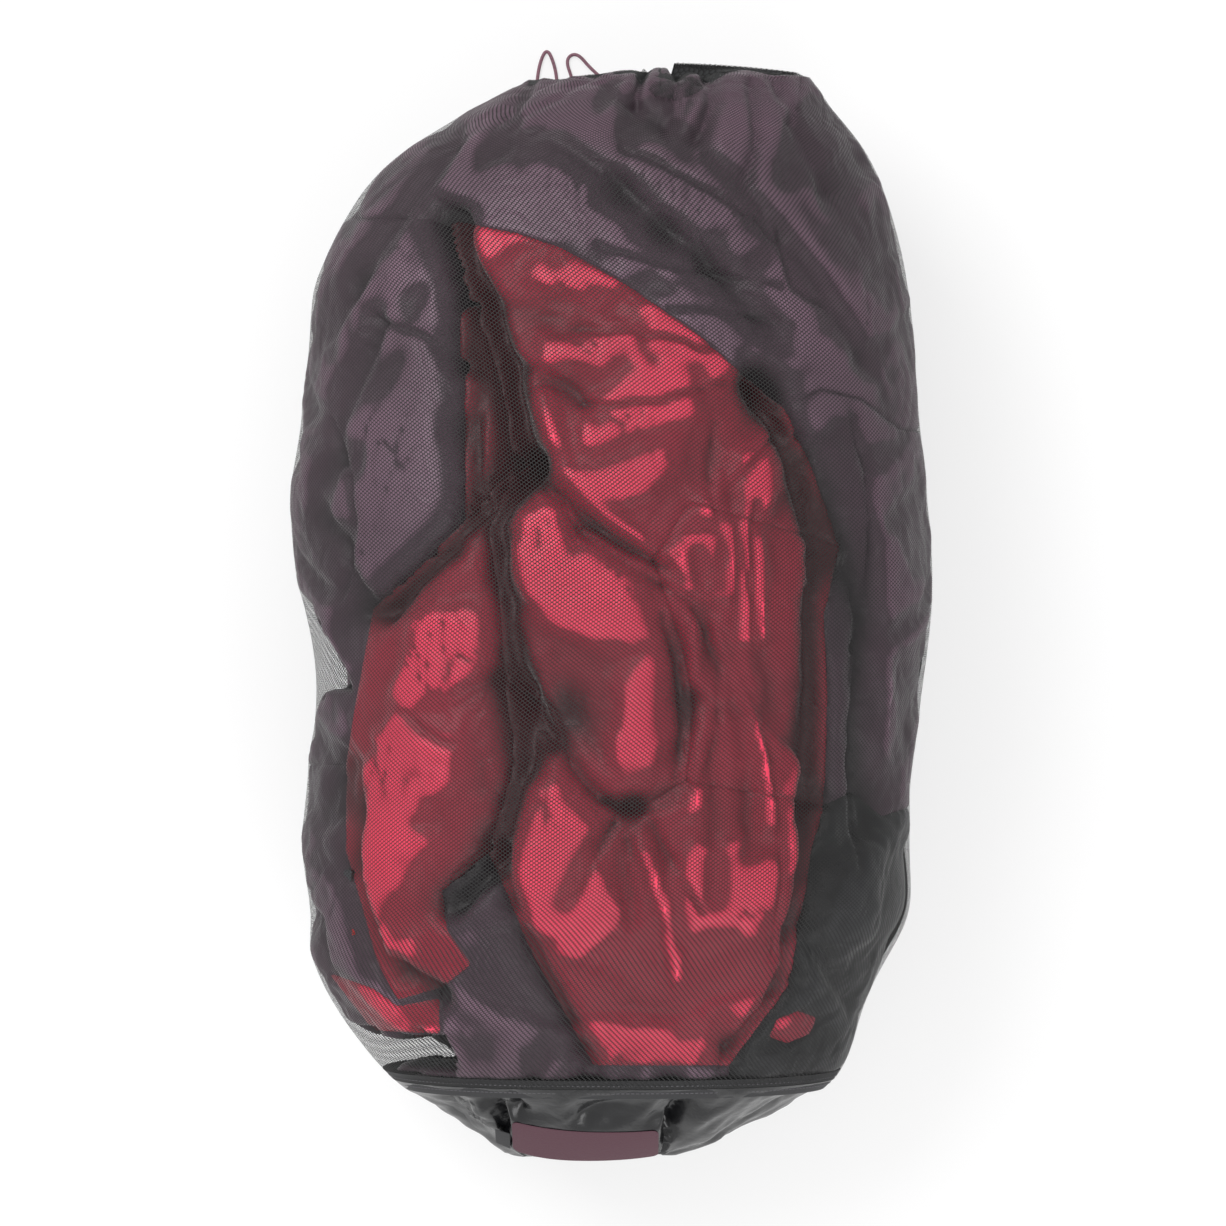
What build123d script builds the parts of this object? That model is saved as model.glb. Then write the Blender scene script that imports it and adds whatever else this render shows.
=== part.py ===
from build123d import *

import os
from math import cos, copysign, hypot, pi, radians, sin, tan

# A mesh storage sack, stuffed with a folded quilted bag and lying on its back.
# Millimetres. +Z is up, +Y runs towards the gathered mouth, +X to the right. The origin is on the
# surface that the sack lies on, under the middle of its length and width.

os.makedirs("parts", exist_ok=True)

# Overall sizes
SACK_LENGTH = 680.0
SACK_WIDTH = 400.0
SACK_HEIGHT = 285.0
ROUNDNESS = 2.3  # 2 is an ellipse, larger is squarer
SECTION_POINTS = 16

# Walls and what lies on them
CLOTH = 0.8  # mesh and base cloth, seam allowances included
TAPE = 0.6
STUFFING_CLEARANCE = 0.9  # wall to stuffing, so the tapes fit between them
FOLD_GAP = 0.5
SIDE_TAPE_LOW, SIDE_TAPE_HIGH = 96.0, 108.0
BASE_TAPE_WIDTH = 12.0
TAPE_ENDS_APART = 0.4
LABEL_WIDTH, LABEL_HEIGHT, LABEL_THICKNESS = 90.0, 32.0, 0.7
LABEL_X, LABEL_Z, LABEL_CORNER = -17.0, 164.0, 4.0
CARE_WIDTH, CARE_HEIGHT, CARE_THICKNESS = 9.0, 18.0, 0.9
CARE_GAP = 1.5

# Gathered mouth and its drawcord
CORD = 2.2
CORD_SPACING = 2.7  # middle to middle where the two tails run side by side
MOUTH_X = 24.0
CASING_RADIUS, CASING_THICKNESS, CASING_ROUNDING = 20.0, 10.0, 3.5
CASING_EYE = 1.6
CASING_SEAT = 0.3
CORD_RING_RADIUS = 15.0
TUNNEL_CLEARANCE = 0.3
CORD_ENDS_APART = 0.6
CORD_REST = 0.05

# Cord lock
EXIT_REACH = 8.0  # from the casing out to the cord's first bend
STRAIGHT_DROP = 54.0  # from the first bend down to where the tails part
LOCK_DROP = 18.0  # from the cord's first bend down to the lock's middle
LOCK_RADIUS, LOCK_BEHIND, LOCK_AHEAD = 6.5, 15.0, 5.0
LOCK_END_WALL = 2.0
BORE_RADIUS = 4.7
PLUNGER_CLEARANCE = 0.08
PLUNGER_BEHIND, PLUNGER_AHEAD = 4.5, 10.0
PLUNGER_TRAVEL = 4.0
CORD_SLOT_CLEARANCE = 0.25
SPRING_RADIUS, SPRING_WIRE, SPRING_PITCH = 3.0, 0.7, 1.5
SPRING_SEAT = 0.1

# Drawcord end knot
KNOT_RADIUS, KNOT_WIDTH, KNOT_END_LENGTH = 3.3, 7.0, 10.5
KNOT_X, KNOT_Y = -27.0, 335.5

# Zip slider and its pull, in a hollow of the stuffing
ZIP_ACROSS, ZIP_ALONG = -83.0, -51.76  # percent of the half width and half length
ZIP_POCKET_LENGTH, ZIP_POCKET_WIDTH, ZIP_POCKET_DEPTH = 44.0, 22.0, 12.0
ZIP_DEPTH = 8.0
ZIP_STATION = 11
SLIDER_LENGTH, SLIDER_WIDTH, SLIDER_THICKNESS = 11.0, 8.0, 3.4
PULL_CORD = 2.0
PULL_KNOT_RADIUS = 2.5
PULL_LENGTH = 10.0
PULL_END_LENGTHS = 18.0, 13.0
PULL_END_SPREAD, PULL_END_START = 4.5, 0.6
PULL_GAP = 0.3

# Stations along the sack: place along its half length, left and right edge in the half width,
# lowest and highest point in the height, all in percent. What falls below the surface is cut flat.
STATIONS = [
    (100, -23, 58, 49, 69),
    (97.5, -29, 62, 41, 74),
    (93.5, -40, 67, 32, 79),
    (88, -56, 75, 23, 84),
    (79.5, -75.5, 83.5, 12, 89),
    (69, -87, 89.5, 3, 93.5),
    (56, -95.5, 93, -3.5, 96.5),
    (34, -98.5, 95.5, -5.5, 99),
    (12, -100, 100, -6, 100),
    (-14, -94, 97, -6, 99.6),
    (-34, -97, 92, -5.5, 98),
    (-50, -96.5, 94, -4, 95.5),
    (-63, -94.5, 86, -0.7, 90.5),
    (-75, -84, 76.5, 5, 83.5),
    (-84.7, -69, 69, 12.5, 74.5),
    (-91, -54.5, 54.5, 19.5, 66.5),
    (-96.5, -40, 33, 27.5, 57.5),
    (-100, -31, 11, 34.5, 50),
]
SEAM_STATION = 14
MOUTH_STATIONS = 1, 2


def station(index):
    """A station's place along Y, its left and right edge, lowest and highest point."""
    along, left, right, low, high = STATIONS[index]
    across, up = SACK_WIDTH / 200, SACK_HEIGHT / 100
    return along * SACK_LENGTH / 200, left * across, right * across, low * up, high * up


def section_points(index, inset):
    """Points of one rounded cross-section, drawn in by inset."""
    _, left, right, low, high = station(index)
    half_width, half_height = (right - left) / 2 - inset, (high - low) / 2 - inset
    points = []
    for step in range(SECTION_POINTS):
        turn = 2 * pi * step / SECTION_POINTS
        across, up = [
            copysign(abs(share) ** (2 / ROUNDNESS), share) if abs(share) > 1e-9 else 0.0
            for share in (cos(turn), sin(turn))
        ]
        points.append(((left + right) / 2 + half_width * across, (low + high) / 2 + half_height * up))
    return points


def envelope(inset):
    """The sack's filled shape, drawn in by inset all round, flat where it rests."""
    last = len(STATIONS) - 1
    with BuildPart() as filled:
        for index in range(len(STATIONS)):
            along = station(index)[0]
            along -= inset * ((index == 0) - (index == last))
            with BuildSketch(Plane.XZ.offset(-along)):
                with BuildLine():
                    Spline(*section_points(index, inset), periodic=True)
                make_face()
        loft()
        split(bisect_by=Plane.XY.offset(inset), keep=Keep.TOP)
    return filled.part


def save(piece, name):
    piece.part.label = name
    export_step(piece.part, f"parts/{name}.step")


SEAM_Y = station(SEAM_STATION)[0]
outer = envelope(0)
inner = envelope(CLOTH)
tape_face = envelope(CLOTH + TAPE)

# The gathered mouth sits on the slope between two stations, square to it
upper, lower = [station(index) for index in MOUTH_STATIONS]
rise_y, rise_z = upper[0] - lower[0], upper[3] - lower[3]
slope = hypot(rise_y, rise_z)
mouth = Plane(
    origin=(MOUTH_X, (upper[0] + lower[0]) / 2, (upper[3] + lower[3]) / 2),
    x_dir=(1, 0, 0),
    z_dir=(0, rise_z / slope, -rise_y / slope),
)

# Cloth walls: one shell, cut at the seam into the mesh body and the coated base
with BuildPart() as mesh_body:
    add(outer)
    add(inner, mode=Mode.SUBTRACT)
    split(bisect_by=Plane.XZ.offset(-SEAM_Y), keep=Keep.BOTTOM)
    with BuildSketch(mouth.offset(-CASING_THICKNESS)):
        Circle(CASING_RADIUS + CASING_SEAT)
    extrude(amount=2 * CASING_THICKNESS, mode=Mode.SUBTRACT)
save(mesh_body, "mesh_body")

with BuildPart() as base_panel:
    add(outer)
    add(inner, mode=Mode.SUBTRACT)
    split(bisect_by=Plane.XZ.offset(-SEAM_Y), keep=Keep.TOP)
save(base_panel, "base_panel")

# Seam tapes, sewn on the inside of the walls
with BuildPart() as base_seam_tape:
    with BuildSketch(Plane.XZ.offset(-SEAM_Y - BASE_TAPE_WIDTH / 2)):
        Rectangle(2 * SACK_WIDTH, 3 * SACK_HEIGHT)
    extrude(amount=BASE_TAPE_WIDTH)
    add(inner, mode=Mode.INTERSECT)
    add(tape_face, mode=Mode.SUBTRACT)
save(base_seam_tape, "base_seam_tape")

side_tape_start = SEAM_Y + BASE_TAPE_WIDTH / 2 + TAPE_ENDS_APART
side_tape_end = station(3)[0]
with BuildPart() as side_seam_tape:
    with BuildSketch(Plane.XZ.offset(-side_tape_end)):
        with Locations((SACK_WIDTH / 2, (SIDE_TAPE_LOW + SIDE_TAPE_HIGH) / 2)):
            Rectangle(SACK_WIDTH, SIDE_TAPE_HIGH - SIDE_TAPE_LOW)
    extrude(amount=side_tape_end - side_tape_start)
    add(inner, mode=Mode.INTERSECT)
    add(tape_face, mode=Mode.SUBTRACT)
save(side_seam_tape, "side_seam_tape")

# Bare woven label and the folded care label beside it, sewn on the base's end
label_start = -station(SEAM_STATION + 1)[0]
label_reach = SACK_LENGTH / 2 - label_start + 5
with BuildPart() as base_label:
    with BuildSketch(Plane.XZ.offset(label_start)):
        with Locations((LABEL_X, LABEL_Z)):
            RectangleRounded(LABEL_WIDTH, LABEL_HEIGHT, LABEL_CORNER)
    extrude(amount=label_reach)
    add(envelope(-LABEL_THICKNESS), mode=Mode.INTERSECT)
    add(outer, mode=Mode.SUBTRACT)
save(base_label, "base_label")

care_x = LABEL_X - LABEL_WIDTH / 2 - CARE_GAP - CARE_WIDTH / 2
care_z = LABEL_Z - LABEL_HEIGHT / 2 + CARE_HEIGHT / 2
with BuildPart() as care_label:
    with BuildSketch(Plane.XZ.offset(label_start)):
        with Locations((care_x, care_z)):
            Rectangle(CARE_WIDTH, CARE_HEIGHT)
    extrude(amount=label_reach)
    add(envelope(-CARE_THICKNESS), mode=Mode.INTERSECT)
    add(outer, mode=Mode.SUBTRACT)
save(care_label, "care_label")

# Casing: the hem bunched tight around the drawcord, with a tunnel and an exit slot at its bottom
tunnel_radius = CORD / 2 + TUNNEL_CLEARANCE
with BuildPart() as drawcord_casing:
    with BuildSketch(mouth.offset(-CASING_THICKNESS / 2)):
        Circle(CASING_RADIUS)
        Circle(CASING_EYE, mode=Mode.SUBTRACT)
    extrude(amount=CASING_THICKNESS)
    rims = drawcord_casing.edges().filter_by(GeomType.CIRCLE).sort_by(SortBy.RADIUS)[-2:]
    fillet(rims, radius=CASING_ROUNDING)
    with Locations(mouth):
        Torus(CORD_RING_RADIUS, tunnel_radius, mode=Mode.SUBTRACT)
    with BuildSketch(mouth):
        with Locations((0, CORD_RING_RADIUS)):
            SlotOverall(CORD_SPACING + 2 * tunnel_radius, 2 * tunnel_radius)
    extrude(amount=CASING_THICKNESS, mode=Mode.SUBTRACT)
save(drawcord_casing, "drawcord_casing")

# Drawcord: the ring inside the casing, then two tails that leave it through the slot
half_opening = CORD_ENDS_APART / 2 / CORD_RING_RADIUS * 180 / pi
with BuildPart() as drawcord_ring:
    with BuildLine(mouth) as ring_line:
        CenterArc((0, 0), CORD_RING_RADIUS, 90 + half_opening, 360 - 2 * half_opening)
    with BuildSketch(Plane(origin=ring_line.line @ 0, z_dir=ring_line.line % 0)):
        Circle(CORD / 2)
    sweep()
save(drawcord_ring, "drawcord_ring")

cord_floor = CORD / 2 + CORD_REST
exit_height = CORD / 2 + CORD_REST
exit_run = CASING_THICKNESS / 2 + EXIT_REACH
bend = mouth.from_local_coords(Vector(0, CORD_RING_RADIUS, exit_height + exit_run))
cord_y, bend_z = bend.Y, bend.Z
straight_end_z = bend_z - STRAIGHT_DROP

# Each tail's way over the floor, under the overhang of the sack's end, out to the knot
LEFT_FLOOR = [
    (6, 322), (-20, 310), (-48, 288), (-84, 276), (-112, 248), (-127, 221), (-141, 205),
    (-157, 214), (-161, 238), (-146, 262), (-120, 281), (-92, 296), (-66, 312), (-51, 329),
    (-42, 347.5), (-37, 333), (-30.7, 334.5),
]
RIGHT_FLOOR = [
    (44, 318), (66, 301), (91, 284), (116, 263), (131, 239), (146, 226), (160, 236),
    (159, 261), (139, 284), (112, 303), (84, 319), (55, 332), (27, 337), (2, 335.5), (-15, 337.5),
    (-23.3, 336.2),
]


def tail_points(side, landing, floor_points):
    """A tail's route: square out of the casing, down through the lock, then over the floor."""
    x = MOUTH_X + side * CORD_SPACING / 2
    start = mouth.from_local_coords(Vector(side * CORD_SPACING / 2, CORD_RING_RADIUS, exit_height))
    route = [tuple(start), (x, cord_y, bend_z), (x, cord_y, straight_end_z), landing]
    return route + [(px, py, cord_floor) for px, py in floor_points]


def tail(name, route):
    """The tube along a route, each corner an arc as large as its two runs allow."""
    points = [Vector(*point) for point in route]
    radii = []
    for before, here, after in zip(points, points[1:], points[2:]):
        half_turn = radians((here - before).get_angle(after - here)) / 2
        radii.append(0.45 * min((here - before).length, (after - here).length) / tan(half_turn))
    with BuildPart() as tube:
        with BuildLine() as line:
            FilletPolyline(*points, radius=radii)
        with BuildSketch(Plane(origin=line.line @ 0, z_dir=line.line % 0)):
            Circle(CORD / 2)
        sweep()
    length = line.wires()[0].length
    filled_share = tube.part.volume / (pi * CORD**2 / 4 * length)
    print(name, "length", round(length, 1), "radii", [round(radius, 1) for radius in radii])
    print(name, "volume over section times length", round(filled_share, 4))
    save(tube, name)


tail("drawcord_left_tail", tail_points(-1, (18.5, cord_y - 2, 12), LEFT_FLOOR))
tail("drawcord_right_tail", tail_points(1, (30.5, cord_y - 2, 11), RIGHT_FLOOR))

# Overhand knot that holds both tail ends, its two cut ends lying side by side
knot_z = KNOT_RADIUS + CORD_REST
with BuildPart() as drawcord_knot:
    with BuildSketch(Plane.YZ.offset(KNOT_X - KNOT_WIDTH / 2)):
        with Locations((KNOT_Y, knot_z)):
            Circle(KNOT_RADIUS)
    extrude(amount=KNOT_WIDTH)
    fillet(drawcord_knot.edges().filter_by(GeomType.CIRCLE), radius=KNOT_RADIUS / 2)
    with BuildSketch(Plane.XZ.offset(-KNOT_Y)):
        with Locations((KNOT_X - CORD_SPACING / 2, cord_floor), (KNOT_X + CORD_SPACING / 2, cord_floor)):
            Circle(CORD / 2)
    extrude(amount=-KNOT_END_LENGTH)
save(drawcord_knot, "drawcord_knot")

# Cord lock: a barrel with a spring-loaded plunger, both slotted for the two cords
lock_z = bend_z - LOCK_DROP
lock_front = Plane(origin=(MOUTH_X, cord_y, lock_z), x_dir=(1, 0, 0), z_dir=(0, 1, 0))
slot_width = CORD_SPACING + CORD + 2 * CORD_SLOT_CLEARANCE
slot_depth = CORD + 2 * CORD_SLOT_CLEARANCE
with BuildPart() as lock_body:
    with BuildSketch(lock_front.offset(-LOCK_BEHIND)):
        Circle(LOCK_RADIUS)
    extrude(amount=LOCK_BEHIND + LOCK_AHEAD)
    fillet(lock_body.edges().group_by(Axis.Y)[0], radius=2.2)
    chamfer(lock_body.edges().group_by(Axis.Y)[-1], length=0.6)
    with BuildSketch(lock_front.offset(LOCK_END_WALL - LOCK_BEHIND)):
        Circle(BORE_RADIUS)
    extrude(amount=LOCK_BEHIND + LOCK_AHEAD, mode=Mode.SUBTRACT)
    with BuildSketch(Plane.XY.offset(lock_z - 2 * LOCK_RADIUS)):
        with Locations((MOUTH_X, cord_y)):
            Rectangle(slot_width, slot_depth)
    extrude(amount=4 * LOCK_RADIUS, mode=Mode.SUBTRACT)
save(lock_body, "lock_body")

with BuildPart() as lock_plunger:
    with BuildSketch(lock_front.offset(-PLUNGER_BEHIND)):
        Circle(BORE_RADIUS - PLUNGER_CLEARANCE)
    extrude(amount=PLUNGER_BEHIND + PLUNGER_AHEAD)
    fillet(lock_plunger.edges().group_by(Axis.Y)[-1], radius=1.6)
    with BuildSketch(Plane.XY.offset(lock_z - 2 * LOCK_RADIUS)):
        with Locations((MOUTH_X, cord_y + PLUNGER_TRAVEL / 2)):
            Rectangle(slot_width, slot_depth + PLUNGER_TRAVEL)
    extrude(amount=4 * LOCK_RADIUS, mode=Mode.SUBTRACT)
save(lock_plunger, "lock_plunger")

spring_room = LOCK_BEHIND - LOCK_END_WALL - PLUNGER_BEHIND
spring_height = spring_room - SPRING_WIRE - 2 * SPRING_SEAT
spring_foot = lock_front.offset(LOCK_END_WALL - LOCK_BEHIND + SPRING_SEAT + SPRING_WIRE / 2)
with BuildPart() as lock_spring:
    with BuildLine() as coil_line:
        Helix(SPRING_PITCH, spring_height, SPRING_RADIUS, spring_foot.origin, spring_foot.z_dir)
    with BuildSketch(Plane(origin=coil_line.line @ 0, z_dir=coil_line.line % 0)):
        Circle(SPRING_WIRE / 2)
    sweep(is_frenet=True)
save(lock_spring, "lock_spring")

# Zip slider and knotted pull of the stuffed bag, in a hollow just under the mesh
ZIP_X, ZIP_Y = ZIP_ACROSS * SACK_WIDTH / 200, ZIP_ALONG * SACK_LENGTH / 200
_, zip_left, zip_right, zip_low, zip_high = station(ZIP_STATION)
zip_share = (ZIP_X - (zip_left + zip_right) / 2) / ((zip_right - zip_left) / 2)
zip_up = (1 - abs(zip_share) ** ROUNDNESS) ** (1 / ROUNDNESS)
zip_z = (zip_low + zip_high) / 2 + (zip_high - zip_low) / 2 * zip_up
lean_x = (abs(zip_share) / zip_up) ** (ROUNDNESS - 1) * (zip_high - zip_low) / (zip_right - zip_left)
zip_plane = Plane(origin=(ZIP_X, ZIP_Y, zip_z), x_dir=(0, 1, 0), z_dir=(-lean_x, 0, 1))
slider_plane = zip_plane.offset(-ZIP_DEPTH)

with BuildPart() as stuffing:
    add(envelope(CLOTH + STUFFING_CLEARANCE))
    with BuildSketch(mouth.offset(-CASING_THICKNESS / 2 - CASING_SEAT)):
        Circle(CASING_RADIUS + 2 * CASING_SEAT)
    extrude(amount=2 * CASING_THICKNESS, mode=Mode.SUBTRACT)
    with BuildSketch(zip_plane.offset(-ZIP_POCKET_DEPTH)):
        Rectangle(ZIP_POCKET_LENGTH, ZIP_POCKET_WIDTH)
    extrude(amount=3 * ZIP_POCKET_DEPTH, mode=Mode.SUBTRACT)

with BuildPart() as zip_slider:
    with BuildSketch(slider_plane.offset(-SLIDER_THICKNESS / 2)):
        with Locations((ZIP_POCKET_LENGTH / 2 - SLIDER_LENGTH / 2 - FOLD_GAP, 0)):
            RectangleRounded(SLIDER_LENGTH, SLIDER_WIDTH, 2.0)
    extrude(amount=SLIDER_THICKNESS)
    fillet(zip_slider.edges().filter_by(GeomType.LINE).group_by(SortBy.LENGTH)[-1], radius=0.6)
save(zip_slider, "zip_slider")

pull_start = ZIP_POCKET_LENGTH / 2 - SLIDER_LENGTH - FOLD_GAP - PULL_GAP
pull_front = slider_plane.from_local_coords(Vector(pull_start, 0, 0))
with BuildPart() as zip_pull:
    with BuildSketch(Plane(origin=pull_front, z_dir=(0, -1, 0))):
        Circle(PULL_CORD / 2)
    extrude(amount=PULL_LENGTH)
    with Locations(slider_plane.from_local_coords(Vector(pull_start - PULL_LENGTH, 0, 0))):
        Sphere(PULL_KNOT_RADIUS)
    for side, reach in zip((-1, 1), PULL_END_LENGTHS):
        tail_start = slider_plane.from_local_coords(
            Vector(pull_start - PULL_LENGTH, side * PULL_END_START, 0)
        )
        tail_end = slider_plane.from_local_coords(
            Vector(pull_start - PULL_LENGTH - reach, side * PULL_END_SPREAD, 0))
        with BuildSketch(Plane(origin=tail_start, z_dir=tail_end - tail_start)):
            Circle(PULL_CORD / 2)
        extrude(amount=(tail_end - tail_start).length)
save(zip_pull, "zip_pull")

# Folds of the stuffed bag, as they lie on top of each other. Corners are percent of the half width
# and half length, and neighbours share them
UPPER = (13, 10), (-4, 15.5), (-21, 25), (-30.5, 27.5)  # upper fold's lower edge
RIGHT_EDGE = (70, 12.5), (65, 0), (66, -15.5), (66, -36)
HANGING_RIGHT = (21, -5), (24, -15.5), (24, -30)
HANGING_RIM = (8.5, -35), (-4, -34), (-18, -22)
VALLEY = (-30.5, 27.5), (-39, 15.5), (-36.5, 2.5), (-33.5, -14), (-18, -22)
CROWN = (-53.5, 72), (2, 61), (44, 42), (53.5, 38)
LEFT_VALLEY = (-44.5, 57.5), (-35, 43), (-30.5, 27.5)
LEFT_FOLD_EDGE = (-47.5, 12.5), (-74, 1), (-83, -27.5)
CORNER_EDGE = (-83, -27.5), (-83, -43), (-74, -63), (-67.5, -70), (-53.5, -67.5)
FOOT_EDGE = (-44.5, -64), (-52, -57.5), (-44.5, -43)
LOWER_LEFT = (-32, -32), (-39, -43), (-26, -61), (-5.5, -82), (36.5, -81)
LOWER_RIGHT = (62, -43), (60.5, -50), (55, -67.5), (36.5, -81)
FAR = 130

TOP_FOLDS = {
    "fold_crimson_upper": CROWN + (RIGHT_EDGE[0], (24, 21)) + UPPER + LEFT_VALLEY[1::-1],
    "fold_crimson_hanging": UPPER[::-1] + HANGING_RIGHT + HANGING_RIM + VALLEY[-2:0:-1],
    "fold_crimson_right": ((13, 10), (24, 21)) + RIGHT_EDGE + HANGING_RIGHT[::-1],
    "fold_crimson_lower": HANGING_RIM[::-1] + HANGING_RIGHT[-1:] + RIGHT_EDGE[-1:] + LOWER_RIGHT
    + LOWER_LEFT[-2::-1],
    "fold_crimson_left": LEFT_FOLD_EDGE[:1] + VALLEY[1:] + LOWER_LEFT[:2] + FOOT_EDGE[::-1]
    + CORNER_EDGE[::-1] + LEFT_FOLD_EDGE[1:2],
    "fold_dark_left": CROWN[:1] + LEFT_VALLEY + VALLEY[1:2] + LEFT_FOLD_EDGE
    + ((-FAR, -27.5), (-FAR, 72)),
    "fold_dark_top": ((-FAR, 72),) + CROWN + ((FAR, 38), (FAR, FAR), (-FAR, FAR)),
    "fold_dark_right": CROWN[-1:] + ((FAR, 38), (FAR, -43), (62, -43)) + RIGHT_EDGE[::-1],
    "folded_pouch": LOWER_RIGHT + ((36.5, -FAR), (FAR, -FAR), (FAR, -43)),
    "fold_dark_lower": FOOT_EDGE + LOWER_LEFT[1:] + ((36.5, -FAR), (-53.5, -FAR), CORNER_EDGE[-1]),
    "fold_dark_corner": CORNER_EDGE + ((-53.5, -FAR), (-FAR, -FAR), (-FAR, -27.5)),
}
BACK_FOLDS = {
    "back_fold_head": ((-FAR, 30), (FAR, 30), (FAR, FAR), (-FAR, FAR)),
    "back_fold_middle": ((-FAR, -30), (FAR, -30), (FAR, 30), (-FAR, 30)),
    "back_fold_foot": ((-FAR, -FAR), (FAR, -FAR), (FAR, -30), (-FAR, -30)),
}
layer_z = SACK_HEIGHT / 2


def fold(name, corners, low, high):
    """One fold: its outline between two levels, kept inside the stuffing's shape."""
    outline = [(x * SACK_WIDTH / 200, y * SACK_LENGTH / 200) for x, y in corners]
    with BuildPart() as piece:
        with BuildSketch(Plane.XY.offset(low + FOLD_GAP / 2)):
            with BuildLine():
                Polyline(*outline, close=True)
            make_face()
            offset(amount=-FOLD_GAP / 2)
        extrude(amount=high - low - FOLD_GAP)
        add(stuffing.part, mode=Mode.INTERSECT)
    save(piece, name)


for name, corners in TOP_FOLDS.items():
    fold(name, corners, layer_z, 2 * SACK_HEIGHT)
for name, corners in BACK_FOLDS.items():
    fold(name, corners, -SACK_HEIGHT, layer_z)
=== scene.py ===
import bpy
import numpy as np
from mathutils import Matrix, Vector
from mathutils.bvhtree import BVHTree


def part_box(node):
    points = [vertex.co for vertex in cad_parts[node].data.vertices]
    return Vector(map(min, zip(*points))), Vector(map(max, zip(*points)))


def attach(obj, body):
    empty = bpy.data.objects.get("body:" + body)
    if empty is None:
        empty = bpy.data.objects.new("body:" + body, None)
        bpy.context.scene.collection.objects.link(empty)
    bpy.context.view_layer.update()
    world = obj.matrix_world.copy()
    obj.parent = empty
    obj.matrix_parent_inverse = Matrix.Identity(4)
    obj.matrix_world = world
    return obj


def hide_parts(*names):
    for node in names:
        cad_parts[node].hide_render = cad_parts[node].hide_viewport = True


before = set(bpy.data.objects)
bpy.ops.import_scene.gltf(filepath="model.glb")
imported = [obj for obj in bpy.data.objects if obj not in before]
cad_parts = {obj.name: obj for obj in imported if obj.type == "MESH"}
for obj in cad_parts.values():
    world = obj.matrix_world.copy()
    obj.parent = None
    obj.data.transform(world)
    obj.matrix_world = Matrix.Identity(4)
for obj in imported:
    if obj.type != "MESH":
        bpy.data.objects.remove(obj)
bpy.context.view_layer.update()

# Camera straight above the sack, far enough off that its sides stay hidden, with the mouth at the
# top of the picture. The view's width is given at the sack's mid height.
VIEW_WIDTH = 0.761
VIEW_DISTANCE = 3.0
MID_HEIGHT = 0.14
lens = bpy.data.cameras.new("overhead_camera")
lens.sensor_width = 36
lens.lens = lens.sensor_width * VIEW_DISTANCE / VIEW_WIDTH
camera = bpy.data.objects.new("overhead_camera", lens)
camera.location = (0, 0.0012, MID_HEIGHT + VIEW_DISTANCE)
bpy.context.scene.collection.objects.link(camera)
bpy.context.scene.camera = camera
bpy.context.scene.view_settings.view_transform = "Standard"


# Drawcord tails: two limp braided cords that leave the casing's slot, run down through the lock and
# lie in loose curves on the floor under the sack's overhanging end, up to the knot that joins them.
CORD = 0.0022
CORD_COLOUR = (0.24, 0.115, 0.15)


def new_material(name, colour, roughness=0.6):
    material = bpy.data.materials.new(name)
    material.use_nodes = True
    shader = material.node_tree.nodes["Principled BSDF"]
    shader.inputs["Base Color"].default_value = (*colour, 1)
    shader.inputs["Roughness"].default_value = roughness
    return material, material.node_tree, shader


def node(tree, kind, **settings):
    made = tree.nodes.new(kind)
    for name, value in settings.items():
        setattr(made, name, value)
    return made


def braid_material(name, colour):
    """A braided cord: fine diagonal strands with a darker groove between them, the darkening being painted
    shade, and a painted highlight on the strands' crowns.
    """
    material, tree, shader = new_material(name, colour, 0.75)
    where = node(tree, "ShaderNodeTexCoord")
    strands = node(tree, "ShaderNodeTexVoronoi")
    strands.inputs["Scale"].default_value = 1400
    bump = node(tree, "ShaderNodeBump")
    bump.inputs["Distance"].default_value = 0.0004
    bump.inputs["Strength"].default_value = 0.8
    # Painted shade and highlight: the ramp darkens the cord towards the grooves between the strands and
    # lightens it on their crowns
    tint = node(tree, "ShaderNodeValToRGB")
    tint.color_ramp.elements[0].color = (*[c * 1.25 for c in colour], 1)
    tint.color_ramp.elements[1].color = (*[c * 0.55 for c in colour], 1)
    tree.links.new(where.outputs["Object"], strands.inputs["Vector"])
    tree.links.new(strands.outputs["Distance"], bump.inputs["Height"])
    tree.links.new(strands.outputs["Distance"], tint.inputs["Fac"])
    tree.links.new(tint.outputs["Color"], shader.inputs["Base Color"])
    tree.links.new(bump.outputs["Normal"], shader.inputs["Normal"])
    return material


cord_material = braid_material("mauve_braid", CORD_COLOUR)


def free_cord(name, route):
    """A cord along one smooth line through its route's points."""
    curve = bpy.data.curves.new(name, "CURVE")
    curve.dimensions = "3D"
    curve.bevel_depth = CORD / 2
    curve.bevel_resolution = 3
    curve.resolution_u = 10
    spline = curve.splines.new("NURBS")
    spline.points.add(len(route) - 1)
    for point, place in zip(spline.points, route):
        point.co = (*place, 1)
    spline.order_u = 3
    spline.use_endpoint_u = True
    curve.materials.append(cord_material)
    cord = bpy.data.objects.new(name, curve)
    bpy.context.scene.collection.objects.link(cord)
    return cord


CORD_FLOOR = 0.00115
LEFT_DROP = [
    (0.02265, 0.3187, 0.0902), (0.02265, 0.3302, 0.08415), (0.02265, 0.3302, 0.03015),
    (0.0185, 0.3282, 0.0120),
]
RIGHT_DROP = [
    (0.02535, 0.3187, 0.0902), (0.02535, 0.3302, 0.08415), (0.02535, 0.3302, 0.03015),
    (0.0305, 0.3282, 0.0110),
]
LEFT_FLOOR = [
    (0.006, 0.322), (-0.020, 0.310), (-0.048, 0.288), (-0.084, 0.276), (-0.112, 0.248),
    (-0.127, 0.221), (-0.141, 0.205), (-0.157, 0.214), (-0.161, 0.238), (-0.146, 0.262),
    (-0.120, 0.281), (-0.092, 0.296), (-0.066, 0.312), (-0.050, 0.336), (-0.0485, 0.3560),
    (-0.0430, 0.3690), (-0.0375, 0.3560), (-0.0360, 0.3420), (-0.0307, 0.3345),
]
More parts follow.
